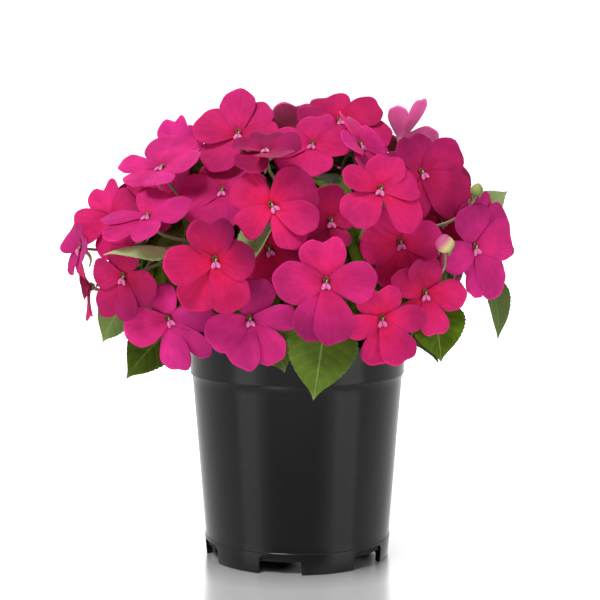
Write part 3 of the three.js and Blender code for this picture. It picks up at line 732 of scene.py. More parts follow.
class BusyLizziePotSettings(bpy.types.PropertyGroup):
    """Sizes and colour of the nursery pot."""

    height: bpy.props.FloatProperty(
        name="Height", description="Height over all", default=POT_HIGH.z, unit="LENGTH")
    rim_radius: bpy.props.FloatProperty(
        name="Rim radius", description="Outer radius of the rim", default=59.6 * MM, unit="LENGTH")
    base_radius: bpy.props.FloatProperty(
        name="Base radius", description="Outer radius of the foot", default=50.6 * MM, unit="LENGTH")
    band_height: bpy.props.FloatProperty(
        name="Band height", description="Height of the rim's band", default=19 * MM, unit="LENGTH")
    wall: bpy.props.FloatProperty(
        name="Wall", description="Thickness of the wall", default=1.6 * MM, unit="LENGTH")
    colour: bpy.props.StringProperty(
        name="Colour", description="Colour of the plastic, as sRGB hex", default="#0E0E10")


class BusyLizzieBloomSettings(bpy.types.PropertyGroup):
    """Sizes and colours of the blooms."""

    petal_thickness: bpy.props.FloatProperty(
        name="Petal thickness", description="Thickness of a petal", default=0.35 * MM, unit="LENGTH")
    centre: bpy.props.StringProperty(
        name="Centre", description="Petal colour by the eye, as sRGB hex", default="#D41838")
    middle: bpy.props.StringProperty(
        name="Middle", description="Petal colour half way out, as sRGB hex", default="#C41A48")
    edge: bpy.props.StringProperty(
        name="Edge", description="Petal colour at the rim, as sRGB hex", default="#BC1E54")
    seed: bpy.props.IntProperty(
        name="Seed", description="Seed of the differences between petals", default=700)


class BusyLizzieGreenSettings(bpy.types.PropertyGroup):
    """Sizes and colours of the leaves and stems."""

    blade_thickness: bpy.props.FloatProperty(
        name="Blade thickness", description="Thickness of a leaf", default=0.4 * MM, unit="LENGTH")
    dark: bpy.props.StringProperty(
        name="Dark green", description="Leaf colour between the veins, as sRGB hex", default="#43590C")
    light: bpy.props.StringProperty(
        name="Light green", description="Leaf colour near the veins, as sRGB hex", default="#536B12")
    inner_leaves: bpy.props.IntProperty(
        name="Inner leaves", description="Leaves tried inside the bush", default=150)


class BusyLizzieStageSettings(bpy.types.PropertyGroup):
    """Camera and light."""

    lens: bpy.props.FloatProperty(
        name="Lens", description="Focal length of the camera in millimetres", default=86.3)
    tilt: bpy.props.FloatProperty(
        name="Tilt", description="How far the camera looks down, in degrees", default=5.07)
    distance: bpy.props.FloatProperty(
        name="Distance", description="From the camera to the pot's axis", default=790 * MM, unit="LENGTH")
    height: bpy.props.FloatProperty(
        name="Height", description="Height of the camera", default=211 * MM, unit="LENGTH")


# ------------------------------------------------------------------ pot and soil

# The drain notches: how many, the turn of the first, and the width, height and corner of each.
NOTCH_COUNT = 6
NOTCH_AZIMUTH = -100.4
NOTCH = (22.8, 10, 3)
# The underside of the floor, the thickness and height of the foot, the wall's outer radius under the
# band, and the band's own at its lower edge.
FLOOR_Z = 5
FOOT_WALL = 3
FOOT_HEIGHT = 12
WALL_TOP_RADIUS = 58.1
BAND_RADIUS = 59
POT_SIDES = 144


class BUSY_LIZZIE_OT_pot(bpy.types.Operator):
    """Turn the nursery pot, cut its drain notches and give it its moulded skin"""

    bl_idname = "busy_lizzie.make_pot"
    bl_label = "Pot"

    def execute(self, context):
        sizes = context.scene.busy_lizzie_pot
        height, rim, base = sizes.height / MM, sizes.rim_radius / MM, sizes.base_radius / MM
        wall, band = sizes.wall / MM, (sizes.height - sizes.band_height) / MM

        def wall_radius(z):
            return base + (WALL_TOP_RADIUS - base) * min(z / band, 1)

        profile = [
            (0.01, FLOOR_Z), (base - FOOT_WALL - 0.4, FLOOR_Z), (base - FOOT_WALL, FLOOR_Z - 0.4),
            (base - FOOT_WALL, 0.5), (base - FOOT_WALL + 0.5, 0), (base - 0.8, 0), (base - 0.2, 0.2),
            (base, 0.8), (wall_radius(FOOT_HEIGHT), FOOT_HEIGHT - 0.95),
            (wall_radius(FOOT_HEIGHT) - 0.06, FOOT_HEIGHT - 0.7),
            (wall_radius(FOOT_HEIGHT) - 0.48, FOOT_HEIGHT - 0.18),
            (wall_radius(FOOT_HEIGHT) - 0.52, FOOT_HEIGHT + 0.2)]
        steps = 24
        for i in range(1, steps):
            z = FOOT_HEIGHT + (band - 2 - FOOT_HEIGHT) * i / steps
            profile.append((wall_radius(z) - 0.52 * (1 - i / steps), z))
        profile += [
            (WALL_TOP_RADIUS, band - 1.4), (WALL_TOP_RADIUS + 0.15, band - 1.2),
            (BAND_RADIUS - 0.15, band - 0.9), (BAND_RADIUS + 0.05, band - 0.5), (BAND_RADIUS + 0.05, band)]
        for i in range(1, 7):
            z = band + (height - 0.8 - band) * i / 7
            profile.append((BAND_RADIUS + (rim - BAND_RADIUS) * i / 7, z))
        profile += [
            (rim, height - 0.8), (rim - 0.15, height - 0.25), (rim - 0.5, height),
            (rim - wall + 0.4, height), (rim - wall, height - 0.4),
            (wall_radius(band) - wall, band - 1), (wall_radius(FLOOR_Z) - wall, FLOOR_Z + wall + 1),
            (wall_radius(FLOOR_Z) - wall - 1, FLOOR_Z + wall), (0.01, FLOOR_Z + wall)]
        pot = revolved("nursery_pot", profile + profile[:1], POT_SIDES)
        pot.data.transform(Matrix.Rotation(math.pi / POT_SIDES, 4, "Z"))
        for i in range(NOTCH_COUNT):
            cutter = self.notch(math.radians(NOTCH_AZIMUTH + 360 / NOTCH_COUNT * i), base)
            apply_modifier(pot, "BOOLEAN", operation="DIFFERENCE", object=cutter, solver="EXACT")
            discard(cutter)
        pot.data.transform(TO_SCENE)
        smooth(pot, 32)
        set_material(pot, moulded_polypropylene(sizes.colour))
        finish_piece(pot, "pot", "pot")
        return {"FINISHED"}

    def notch(self, turn, base):
        """A drain notch's cutter: a box with its two upper edges rounded, run out through the foot."""
        width, height, corner = NOTCH
        deselect_all()
        bpy.ops.mesh.primitive_cube_add(size=1)
        cutter = bpy.context.active_object
        cutter.data.transform(Matrix.Diagonal((18, width, 2 * height, 1)))
        activate(cutter)
        bpy.ops.object.mode_set(mode="EDIT")
        bpy.ops.mesh.select_all(action="DESELECT")
        bpy.ops.object.mode_set(mode="OBJECT")
        for edge in cutter.data.edges:
            ends = [cutter.data.vertices[i].co for i in edge.vertices]
            edge.select = all(end.z > 0 for end in ends) and abs(ends[0].y - ends[1].y) < 1
        bpy.ops.object.mode_set(mode="EDIT")
        bpy.ops.mesh.select_mode(type="EDGE")
        bpy.ops.mesh.bevel(offset=corner, segments=6, affect="EDGES")
        bpy.ops.object.mode_set(mode="OBJECT")
        cutter.data.transform(Matrix.Rotation(turn, 4, "Z") @ Matrix.Translation((base, 0, 0)))
        return cutter


SOIL_TOP = 107
SOIL_CROWN = 4


class BUSY_LIZZIE_OT_soil(bpy.types.Operator):
    """Fill the pot with crumbly potting soil"""

    bl_idname = "busy_lizzie.make_soil"
    bl_label = "Soil"

    def execute(self, context):
        low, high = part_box("potting_soil")
        edge = (high.x - low.x) / 2 / MM
        bottom = low.z / MM
        base = edge - 5.5
        rows = 34
        profile = [(0.01, bottom), (base, bottom)]
        for i in range(rows + 1):
            share = 1 - i / rows
            profile.append((max(edge * share, 0.01), SOIL_TOP + SOIL_CROWN * (1 - share**2)))
        soil = revolved("potting_soil_crumbs", profile, 110)
        points = points_of(soil)
        for p in points:
            if p[2] > SOIL_TOP + 0.1:
                grain = noise.fractal(Vector(p) / 5, 1.0, 2.0, 4)
                p[2] += 1.1 * grain
        set_points(soil, points)
        soil.data.transform(TO_SCENE)
        smooth(soil, 40)
        set_material(soil, peat_soil())
        finish_piece(soil, "soil", "potting_soil")
        return {"FINISHED"}


# ------------------------------------------------------------------ blooms

# Each petal, from the top one round to the left: its direction round the eye, its length as a share
# of the half span, half its opening angle, how much longer its left side is, and how deep its tip is
# notched. Left is as seen from the front, with the tip up.
PETALS = [
    (90, 1.0, 56, 0.0, 0.2), (176, 1.0, 47, 0.05, 0.04), (245, 1.12, 38, 0.0, 0.05),
    (294, 1.12, 38, 0.0, 0.05), (364, 1.0, 47, -0.05, 0.04),
]
# The blooms of the front whose petals differ from that, by number.
PETALS_OF = {
    1: [(96, 0.9, 64, 0.04, 0.24), (193, 0.89, 35, 0.0, 0.0), (258, 1.1, 32, 0.0, 0.0),
        (295, 1.13, 35, 0.0, 0.03), (358, 1.0, 36, 0.0, 0.0)],
    2: [(70, 0.84, 48, 0.0, 0.06), (196, 0.94, 40, 0.1, 0.0), (247, 1.06, 34, 0.0, 0.0),
        (289, 1.1, 36, 0.1, 0.04), (354, 1.02, 30, 0.08, 0.0)],
    3: [(93, 0.92, 50, 0.06, 0.16), (182, 1.03, 38, -0.1, 0.0), (238, 1.13, 36, 0.0, 0.0),
        (288, 1.1, 38, 0.0, 0.08), (356, 0.8, 46, 0.05, 0.0)],
    4: [(112, 0.92, 46, -0.05, 0.08), (181, 0.88, 36, 0.0, 0.14), (266, 1.06, 32, 0.05, 0.0),
        (301, 1.02, 34, 0.0, 0.0), (360, 1.02, 50, -0.12, 0.0)],
    5: [(88, 0.85, 54, -0.05, 0.1), (173, 0.98, 33, -0.08, 0.06), (240, 1.12, 43, -0.06, 0.03),
        (328, 1.2, 33, -0.1, 0.0), (378, 0.95, 38, 0.05, 0.06)],
    6: [(96, 0.95, 50, 0.0, 0.12), (188, 1.08, 44, 0.0, 0.0), (236, 1.15, 38, 0.0, 0.04),
        (290, 1.1, 38, 0.0, 0.05), (366, 1.05, 46, 0.0, 0.04)],
    7: [(94, 0.95, 54, 0.0, 0.12), (184, 0.92, 44, 0.0, 0.0), (242, 1.12, 36, 0.0, 0.0),
        (288, 1.1, 34, 0.0, 0.04), (350, 1.06, 40, -0.06, 0.0)],
    8: [(95, 0.88, 52, 0.08, 0.2), (183, 0.96, 45, 0.0, 0.0), (250, 1.13, 31, 0.0, 0.05),
        (281, 1.15, 31, 0.0, 0.0), (362, 0.93, 41, -0.04, 0.0)],
    9: [(76, 0.78, 44, 0.0, 0.1), (167, 0.9, 43, 0.0, 0.0), (248, 1.17, 31, 0.0, 0.05),
        (290, 1.12, 23, -0.16, 0.0), (338, 0.9, 38, 0.0, 0.0)],
    10: [(86, 0.9, 54, 0.05, 0.16), (148, 0.9, 42, 0.0, 0.0), (232, 1.0, 36, 0.0, 0.0),
         (282, 1.15, 31, 0.1, 0.1), (350, 1.01, 38, 0.0, 0.0)],
    11: [(90, 0.95, 48, 0.0, 0.08), (190, 0.95, 40, 0.0, 0.0), (253, 1.1, 20, 0.0, 0.0),
         (287, 1.15, 35, 0.05, 0.0), (362, 1.03, 43, -0.06, 0.09)],
    12: [(84, 0.85, 48, 0.0, 0.06), (184, 1.0, 27, 0.0, 0.0), (226, 1.08, 30, 0.0, 0.0),
         (286, 1.0, 34, 0.0, 0.08), (366, 1.08, 38, 0.0, 0.0)],
    13: [(94, 1.2, 58, 0.0, 0.1), (178, 1.08, 26, 0.0, 0.0), (238, 0.9, 36, 0.0, 0.0),
         (296, 0.92, 40, 0.0, 0.05), (364, 1.0, 42, 0.0, 0.0)],
    14: [(46, 0.88, 40, 0.0, 0.0), (166, 0.97, 48, 0.0, 0.0), (238, 1.02, 42, 0.0, 0.0),
         (340, 0.94, 44, 0.0, 0.0), (95, 0.98, 40, 0.0, 0.0)],
    15: [(84, 0.76, 48, 0.0, 0.1), (150, 0.86, 44, 0.0, 0.0), (222, 1.0, 40, 0.0, 0.0),
         (296, 1.08, 45, 0.0, 0.06), (366, 1.0, 44, 0.0, 0.05)],
    16: [(98, 0.9, 52, 0.0, 0.12), (176, 0.98, 44, 0.0, 0.0), (240, 1.08, 38, 0.0, 0.05),
         (316, 1.3, 40, 0.0, 0.05), (368, 1.0, 46, 0.0, 0.06)],
    18: [(90, 0.72, 50, 0.0, 0.1), (176, 1.05, 46, 0.0, 0.0), (245, 0.85, 40, 0.0, 0.0),
         (294, 0.85, 40, 0.0, 0.0), (364, 1.1, 46, 0.0, 0.0)],
    20: [(90, 1.0, 54, 0.0, 0.1), (176, 1.0, 46, 0.0, 0.0), (242, 1.25, 40, 0.0, 0.05),
         (294, 1.4, 42, 0.0, 0.05), (364, 1.0, 46, 0.0, 0.0)],
    23: [(96, 0.85, 44, 0.0, 0.1), (178, 0.95, 44, 0.0, 0.0), (246, 1.05, 38, 0.0, 0.0),
         (292, 0.7, 30, 0.0, 0.0), (362, 0.55, 38, 0.0, 0.0)],
    32: [(68, 0.96, 32, 0.0, 0.0), (176, 1.0, 46, 0.0, 0.04), (245, 1.12, 38, 0.0, 0.05),
         (315, 1.05, 40, 0.0, 0.05), (107, 1.26, 13, 0.0, 0.0)],
}
# How far each of the five stands before the bloom's own plane, or behind it, in millimetres.
PETAL_LEVELS = [-1.0, 0.9, -0.5, 0.6, 1.1]
# For the blooms of the front, how much pinker than crimson and how much lighter each one is, the lightness
# also painting light and shade onto the bloom, how far painted shade darkens one side of it, and the
# direction of that side round the eye.
SHADES = [
    (0.25, 1.38, 0.5, 355), (0.75, 1.03, 0.3, 80), (0.15, 1.05, 0.9, 35), (0.2, 1.24, 0.4, 345),
    (0.35, 1.12, 0.15, 90), (0.5, 1.2, 0.25, 60), (0.35, 0.85, 0.35, 290), (0.5, 1.25, 0.5, 255),
    (0.8, 1.22, 0.5, 320), (0.25, 1.2, 0.5, 100), (0.8, 1.12, 0.5, 100), (0.7, 1.12, 0.2, 0),
    (0.75, 1.25, 0.2, 300), (0.5, 1.05, 0.3, 290), (0.4, 0.85, 0.5, 110), (0.35, 1.05, 0.4, 170),
    (0.4, 1.2, 0.2, 0), (0.95, 0.95, 0.4, 90), (0.6, 0.95, 0.35, 330), (0.5, 0.75, 0.3, 0),
    (0.35, 1.3, 0.4, 60), (0.7, 1.45, 0.3, 270), (0.3, 0.8, 0.4, 270), (0.95, 0.85, 0.3, 180),
    (0.4, 0.9, 0.3, 90), (0.3, 0.9, 0.3, 90), (0.25, 1.1, 0.4, 0), (0.15, 1.15, 0.3, 90),
    (0.85, 1.25, 0.3, 0), (0.3, 1.0, 0.3, 270), (0.3, 1.25, 0.1, 0), (0.7, 1.05, 0.1, 0),
    (0.4, 1.0, 0.3, 0),
]
# How much darker painted shade makes the fold between two petals, how much of its opening a petal's grid
# sweeps, and how fine that grid is.
PAINTED_FOLD_SHADE = 0.4
PETAL_SWEEP = 0.93
PETAL_COLUMNS = 22
PETAL_ROWS = 15


def shape_petal(petal, form, level, span, cup, rng):
    """Shapes a grid into a petal: its columns run out from the eye like the veins do. The minus keeps
    the grid's upper side above, and stopping short of 1 keeps the sides from folding over at the eye.
    Returns how far each corner lies in the fold between two petals, where painted shade darkens it."""
    turn, length, opening, lean, notch = form
    points = points_of(petal)
    u, v = -PETAL_SWEEP * points[:, 0], (points[:, 1] + 1) / 2
    half = span / 2
    opening = math.radians(opening * rng.uniform(0.95, 1.05))
    angle = opening * np.sin(u * math.pi / 2)
    round_end = np.cos(angle / opening * math.pi / 2).clip(0, 1) ** rng.uniform(0.2, 0.3)
    skew = 1 + (lean + rng.uniform(-0.05, 0.05)) * u + 0.035 * np.sin(3.1 * u + rng.uniform(0, 6))
    dent = 1 - notch * np.exp(-(angle / math.radians(12)) ** 2)
    frill = 1 + 0.02 * np.sin(7 * u + rng.uniform(0, 6)) + 0.012 * np.sin(16 * u + rng.uniform(0, 6))
    reach = length * half * rng.uniform(0.97, 1.03) * (0.06 + 0.94 * round_end * skew) * dent * frill
    radius = reach * (0.05 + 0.95 * v)
    angle = angle * (1 + 0.5 * np.exp(-(radius / (0.3 * half)) ** 2))
    along, across = radius * np.cos(angle), radius * np.sin(angle)
    rho = radius / half
    out = v * reach / (length * half)
    z = level * (0.25 + 0.6 * out) + cup * rho**2
    z += rng.uniform(-0.6, 2.2) * np.sqrt((across / (0.45 * half)) ** 2 + 0.01) * out
    z += rng.uniform(0.9, 2.2) * out**2 * np.sin(2.6 * u + rng.uniform(0, 6))
    z += rng.uniform(0.3, 0.7) * out**3 * np.sin(6.5 * u + rng.uniform(0, 6))
    z += rng.uniform(-4.4, 0.8) * out**2.4 + rng.uniform(-0.8, 2.6) * out
    z += rng.uniform(-1.8, 4.2) * out * across / half
    z -= 1.7 * np.exp(-(radius / 3.4) ** 2)
    turn = math.radians(turn)
    x = along * math.cos(turn) - across * math.sin(turn)
    y = along * math.sin(turn) + across * math.cos(turn)
    set_points(petal, np.column_stack([x, y, z]))
    return np.exp(-((1 - np.abs(u)) / 0.22) ** 2 - (radius / (0.55 * half)) ** 2)


def rod_curve(name):
    """An empty curve whose lines become round rods with closed ends."""
    curve = bpy.data.curves.new(name, "CURVE")
    curve.dimensions = "3D"
    curve.bevel_depth = 1
    curve.bevel_resolution = 2
    curve.use_fill_caps = True
    return curve


def add_line(curve, points, radii):
    """Adds a rod through these points, with a radius at each of them."""
    spline = curve.splines.new("POLY")
    spline.points.add(len(points) - 1)
    for place, point, radius in zip(spline.points, points, radii):
        place.co = (*point, 1)
        place.radius = radius


def meshed(curve, name):
    made = bpy.data.objects.new(name, curve)
    bpy.context.scene.collection.objects.link(made)
    activate(made)
    bpy.ops.object.convert(target="MESH")
    made = bpy.context.active_object
    made.name = name
    return made


def sphere(name, size, at, tilt=0):
    """A small egg with these half sizes, tilted round the way that the bloom faces."""
    deselect_all()
    bpy.ops.mesh.primitive_uv_sphere_add(segments=12, ring_count=8, radius=1)
    made = bpy.context.active_object
    made.name = name
    turned = Matrix.Rotation(math.radians(tilt), 4, "Z")
    made.data.transform(Matrix.Translation(at) @ turned @ Matrix.Diagonal((*size, 1)))
    return made


def bloom_centre(materials):
    """The middle of a bloom: dark throat with a pale column in it, the pink two-lobed cap of stamens
    below it, and the sepals' cup with its nectar spur behind."""
    throat = revolved("throat", [(0.05, -1.0), (0.6, -0.8), (0.85, -0.4), (1.0, 0.1), (1.2, -0.2)], 16)
    throat.data.transform(Matrix.Translation((0, 0.75, 0)) @ Matrix.Diagonal((1.05, 1.45, 1, 1)))
    set_material(throat, materials["throat"])
    column = sphere("column", (0.35, 0.95, 0.5), (0.25, 0.15, 0.2), -12)
    set_material(column, materials["column"])
    lobes = [sphere("lobe", (1.0, 1.75, 0.55), (1.1 * s, -2.35, 0.45), 24 * s) for s in (-1, 1)]
    for lobe in lobes:
        set_material(lobe, materials["cap"])
    neck = sphere("neck", (0.5, 1.7, 0.4), (0, -2.1, 0.5))
    set_material(neck, materials["groove"])
    cup = revolved("sepal_cup", [(0.02, -4.2), (0.7, -4.1), (1.5, -3.4), (2.3, -2.5), (2.7, -1.9)], 12)
    spur_line = [Vector((0, -0.6, -2.0)), Vector((0, -2.2, -5.0)), Vector((0, -4.2, -7.2)),
                 Vector((0, -7.0, -8.1)), Vector((0, -9.7, -8.1))]
    spur_curve = rod_curve("spur")
    shares = [i / 12 for i in range(13)]
    add_line(spur_curve, [spline_point(spur_line, s) for s in shares], [1.2 - 0.8 * s for s in shares])
    spur = meshed(spur_curve, "spur")
    for piece in (cup, spur):
        set_material(piece, materials["sepal"])
    centre = joined([throat, column, *lobes, neck, cup, spur], "bloom_centre")
    smooth(centre)
    return centre


class BUSY_LIZZIE_OT_blooms(bpy.types.Operator):
    """Grow every bloom: five petals, throat, stamens, sepals and spur"""

    bl_idname = "busy_lizzie.make_blooms"
    bl_label = "Blooms"

    def execute(self, context):
        looks = context.scene.busy_lizzie_blooms
        upper = petal_skin("petal_upper_skin", looks.centre, looks.middle, looks.edge, "#C42A7C", 0.6)
        under = petal_skin("petal_under_skin", "#CC4470", "#C03C70", "#B84078", "#CE609C", 0.65, 1.5)
        centre = bloom_centre({
            "throat": fleshy_skin("flower_throat", "#5A3210", "#7C5A1E", 0.6, 1.0),
            "column": fleshy_skin("flower_column", "#D2BE8C", "#A89A58", 0.5, 0.8),
            "cap": fleshy_skin("stamen_cap", "#E082B6", "#CC5698", 0.5, 1.0),
            "groove": fleshy_skin("stamen_groove", "#A8327A", "#C04488", 0.5, 1.0),
            "sepal": fleshy_skin("sepal_and_spur", "#B57A7F", "#99A060", 0.5, 3),
        })
        blank = grid_blank("petal_blank", PETAL_COLUMNS, PETAL_ROWS)
        for place, (node, eye, basis, span, cup) in enumerate(bloom_places()):
            rng = random.Random(looks.seed + place)
            if place < len(SHADES):
                pink_and_painted_shade, lightness, painted_side_shade, painted_side_way = SHADES[place]
            else:
                pink_and_painted_shade, lightness, painted_side_shade = rng.uniform(0.1, 0.8), rng.uniform(0.85, 1.1), 0.3
                painted_side_way = rng.uniform(0, 360)
            petals = []
            for form, level in zip(PETALS_OF.get(place + 1, PETALS), PETAL_LEVELS):
                petal = copy_of(blank, "petal")
                fold = shape_petal(petal, self.varied(form, place + 1, rng), level, span, cup, rng)
                # Painted shade: each petal darkens towards the bloom's shaded side, and towards one more
                # side drawn by chance.
                painted_shade = self.painted_shade(petal, span, painted_side_shade, painted_side_way)
                painted_shade += self.painted_shade(petal, span, rng.uniform(0.05, 0.3), rng.uniform(0, 360))
                # The painted shade also pulls the petal's colour towards the cool purple.
                pink = pink_and_painted_shade + rng.uniform(-0.12, 0.12) + 0.6 * painted_shade
                mark(petal, "pink_and_painted_shade", pink.clip(0, 1))
                # The lightness holds the bloom's tone, its painted shade, and the painted shade in the fold
                # between petals.
                lighter = lightness * rng.uniform(0.94, 1.08)
                mark(petal, "lightness", lighter * (1 - painted_shade) * (1 - PAINTED_FOLD_SHADE * fold))
                petals.append(petal)
            bloom = joined(petals, "busy_lizzie_" + node)
            set_material(bloom, upper, under)
            apply_modifier(bloom, "SOLIDIFY", thickness=looks.petal_thickness / MM, offset=-1,
                           material_offset=1)
            smooth(bloom)
            bloom = joined([bloom, copy_of(centre, "centre")], "busy_lizzie_" + node)
            bloom.data.transform(TO_SCENE @ Matrix.Translation(eye) @ basis.to_4x4())
            finish_piece(bloom, "petal", node)
        discard(blank)
        discard(centre)
        return {"FINISHED"}

    def painted_shade(self, petal, span, most, way):
        """The painted shade on each corner of a petal, from nothing at the eye to most at this side."""
        turn = math.radians(way)
        towards = points_of(petal)[:, :2] @ np.array((math.cos(turn), math.sin(turn)))
        return most * (towards / (span / 2)).clip(0, 1)

    def varied(self, form, number, rng):
        """A petal's form, changed a little by chance where it isn't listed for this bloom."""
        if number in PETALS_OF:
            return form
        turn, length, opening, lean, notch = form
        return (turn + rng.uniform(-6, 6), length * rng.uniform(0.93, 1.05),
                opening * rng.uniform(0.86, 1.06), lean + rng.uniform(-0.1, 0.1),
                notch * rng.uniform(0.4, 1.4))


class BUSY_LIZZIE_OT_buds(bpy.types.Operator):
    """Grow the buds that show colour"""

    bl_idname = "busy_lizzie.make_buds"
    bl_label = "Buds"

    def execute(self, context):
        skin = bud_skin()
        green = fleshy_skin("bud_sepal_skin", "#4A5F22", "#6E8040", 0.5, 2)
        for (node, foot, basis, length, radius), ripe in zip(bud_places(), BUD_RIPENESS):
            rows = 14
            length *= 0.85
            profile = [(max(radius * math.sin(math.pi * (i / rows) ** 0.8) ** 0.7, 0.02), length * i / rows)
                       for i in range(rows + 1)]
            bud = revolved("busy_lizzie_" + node, profile, 24)
            points = points_of(bud)
            turn = np.arctan2(points[:, 1], points[:, 0]) + points[:, 2] / length * 1.6
            fold = 1 + 0.1 * np.abs(np.sin(1.5 * turn)) * np.sin(math.pi * points[:, 2] / length)
            set_points(bud, points * np.column_stack([fold, fold, np.ones(len(fold))]))
            blush = ripe * (0.25 + 0.85 * points[:, 2] / length - 0.35 * points[:, 0] / radius)
            mark(bud, "blush", blush.clip(0, 1))
            set_material(bud, skin)
            sepals = []
            for turn in (200, 320, 80):
                size = (0.45, 0.3 * radius, 0.36 * length)
                sepal = sphere("sepal", size, (0.72 * radius, 0, 0.24 * length))
                sepal.data.transform(Matrix.Rotation(math.radians(turn), 4, "Z"))
                set_material(sepal, green)
                sepals.append(sepal)
            bud = joined([bud, *sepals], "busy_lizzie_" + node)
            bud.data.transform(TO_SCENE @ Matrix.Translation(foot) @ basis.to_4x4())
            smooth(bud)
            finish_piece(bud, "bud", node)
        return {"FINISHED"}


# ------------------------------------------------------------------ leaves and stems

# How fine the leaves' grid and the stems' and stalks' lines are, and the seed of the leaves' draws.
LEAF_COLUMNS = 12
LEAF_LENGTHWISE = 64
STEM_STEPS = 28
STALK_STEPS = 10
LEAF_SEED = 3
# The leaves inside the bush: their coarser grid, how deep in the dome each may lie, where their
# spiral starts, and the seed of their draws.
INNER_GRID = (6, 12)
INNER_DEPTHS = (0.84, 0.74, 0.64, 0.54)
INNER_START = 95
INNER_SEED = 5


def shape_leaf(blade, leaf, rng):
    """Shapes a grid into a pointed oval leaf with a finely toothed edge, sunk along its veins."""
    points = points_of(blade)
    u, t = points[:, 0], (points[:, 1] + 1) / 2
    outline = np.sin(math.pi * t.clip(0, 1) ** 0.64).clip(0, 1) ** 0.86
    outline *= 1 - 0.6 * np.exp(-((1 - t) / 0.16) ** 2)
    tooth = (t * 16) % 1
    outline *= 1 - 0.055 * tooth * np.sin(math.pi * t).clip(0, 1) * np.abs(u) ** 6
    w = u * outline
    half = leaf.width / 2
    arch = 4 * leaf.droop * t * (1 - t) + leaf.fold * np.abs(w) ** 1.3
    phase = (t - VEIN_SLANT * np.abs(u)) * SIDE_VEINS
    arch += 0.45 * np.abs(np.sin(math.pi * phase)) * np.abs(w) ** 0.5 * (1 - t)
    arch += rng.uniform(0.3, 0.9) * np.sin(5 * t + rng.uniform(0, 6)) * w * np.abs(w)
    along, across, normal = (np.array(way) for way in (leaf.along, leaf.across, leaf.normal))
    base = np.array(leaf.base)
    shaped = base + np.outer(t * leaf.length, along) + np.outer(w * half, across) + np.outer(arch, normal)
    set_points(blade, shaped)
    mark(blade, "lightness", leaf.lightness)
    mark(blade, "young", leaf.young + 0.5 * np.exp(-((1 - t) / 0.06) ** 2))


class BUSY_LIZZIE_OT_leafy_stems(bpy.types.Operator):
    """Grow the seven stems with every stalk and leaf of the frame"""

    bl_idname = "busy_lizzie.make_leafy_stems"
    bl_label = "Leafy stems"

    def execute(self, context):
        looks = context.scene.busy_lizzie_green
        upper = leaf_skin("leaf_upper_skin", looks.dark, looks.light, "#A3AF6E", 0.45)
        under = leaf_skin("leaf_under_skin", "#5C7434", "#6E8645", "#A0AE74", 0.6)
        bark = fleshy_skin("stem_skin", "#5F7038", "#8A7450", 0.38, 6)
        rng = random.Random(LEAF_SEED)
        parts = GreenParts(bloom_places(), bud_places())
        blank = grid_blank("leaf_blank", LEAF_COLUMNS, LEAF_LENGTHWISE)
        foot, top = STEM_RADII
        stem_shares = [s / STEM_STEPS for s in range(STEM_STEPS + 1)]
        stalk_shares = [s / STALK_STEPS for s in range(STALK_STEPS + 1)]
        for i, node in enumerate(STEM_NODES):
            curve = rod_curve(node)
            add_line(curve, [spline_point(parts.paths[i], s) for s in stem_shares],
                     [foot + (top - foot) * s for s in stem_shares])
            for route, radius in parts.stalks[i]:
                add_line(curve, [bezier(*route, s) for s in stalk_shares],
                         [stalk_radius(radius, s) for s in stalk_shares])
            stem = meshed(curve, "stem")
            set_material(stem, bark)
            smooth(stem)
            pieces = [stem]
            for leaf in parts.leaves[i]:
                blade = copy_of(blank, "blade")
                shape_leaf(blade, leaf, rng)
                set_material(blade, upper, under)
                apply_modifier(blade, "SOLIDIFY", thickness=looks.blade_thickness / MM, offset=0,
                               material_offset=1)
                smooth(blade)
                pieces.append(blade)
            made = joined(pieces, "busy_lizzie_" + node)
            made.data.transform(TO_SCENE)
            finish_piece(made, "stem_and_leaf", node)
        discard(blank)
        return {"FINISHED"}


class BUSY_LIZZIE_OT_inner_leaves(bpy.types.Operator):
    """Fill the inside of the bush with leaves that cross neither a bloom nor the pot"""

    bl_idname = "busy_lizzie.make_inner_leaves"
    bl_label = "Inner leaves"

    def execute(self, context):
        looks = context.scene.busy_lizzie_green
        upper = bpy.data.materials["leaf_upper_skin"]
        under = bpy.data.materials["leaf_under_skin"]
        kept_clear = [o for o in bpy.data.objects if o.name.startswith("busy_lizzie_bloom_")]
        kept_clear.append(bpy.data.objects["nursery_pot"])
        tree = self.tree_of(kept_clear)
        rng = random.Random(INNER_SEED)
        blank = grid_blank("inner_leaf_blank", *INNER_GRID)
        blades = []
        for k in range(looks.inner_leaves):
            for depth in INNER_DEPTHS:
                leaf, _ = rule_leaf(k, depth, looks.inner_leaves, INNER_START)
                blade = copy_of(blank, "inner_blade")
                shape_leaf(blade, leaf, rng)
                blade.data.transform(TO_SCENE)
                if not self.tree_of([blade]).overlap(tree):
                    break
                discard(blade)
            else:
                continue
            set_material(blade, upper, under)
            blades.append(blade)
        discard(blank)
        inner = joined(blades, "busy_lizzie_inner_leaves")
        apply_modifier(inner, "SOLIDIFY", thickness=looks.blade_thickness, offset=0, material_offset=1)
        smooth(inner)
        finish_piece(inner, "stem_and_leaf")
        return {"FINISHED"}

    def tree_of(self, things):
        """A search tree of all the faces of these objects."""
        corners, faces = [], []
        for thing in things:
            start = len(corners)
            corners += [v.co.copy() for v in thing.data.vertices]
            faces += [[start + i for i in face.vertices] for face in thing.data.polygons]
        return BVHTree.FromPolygons(corners, faces)


# ------------------------------------------------------------------ stage

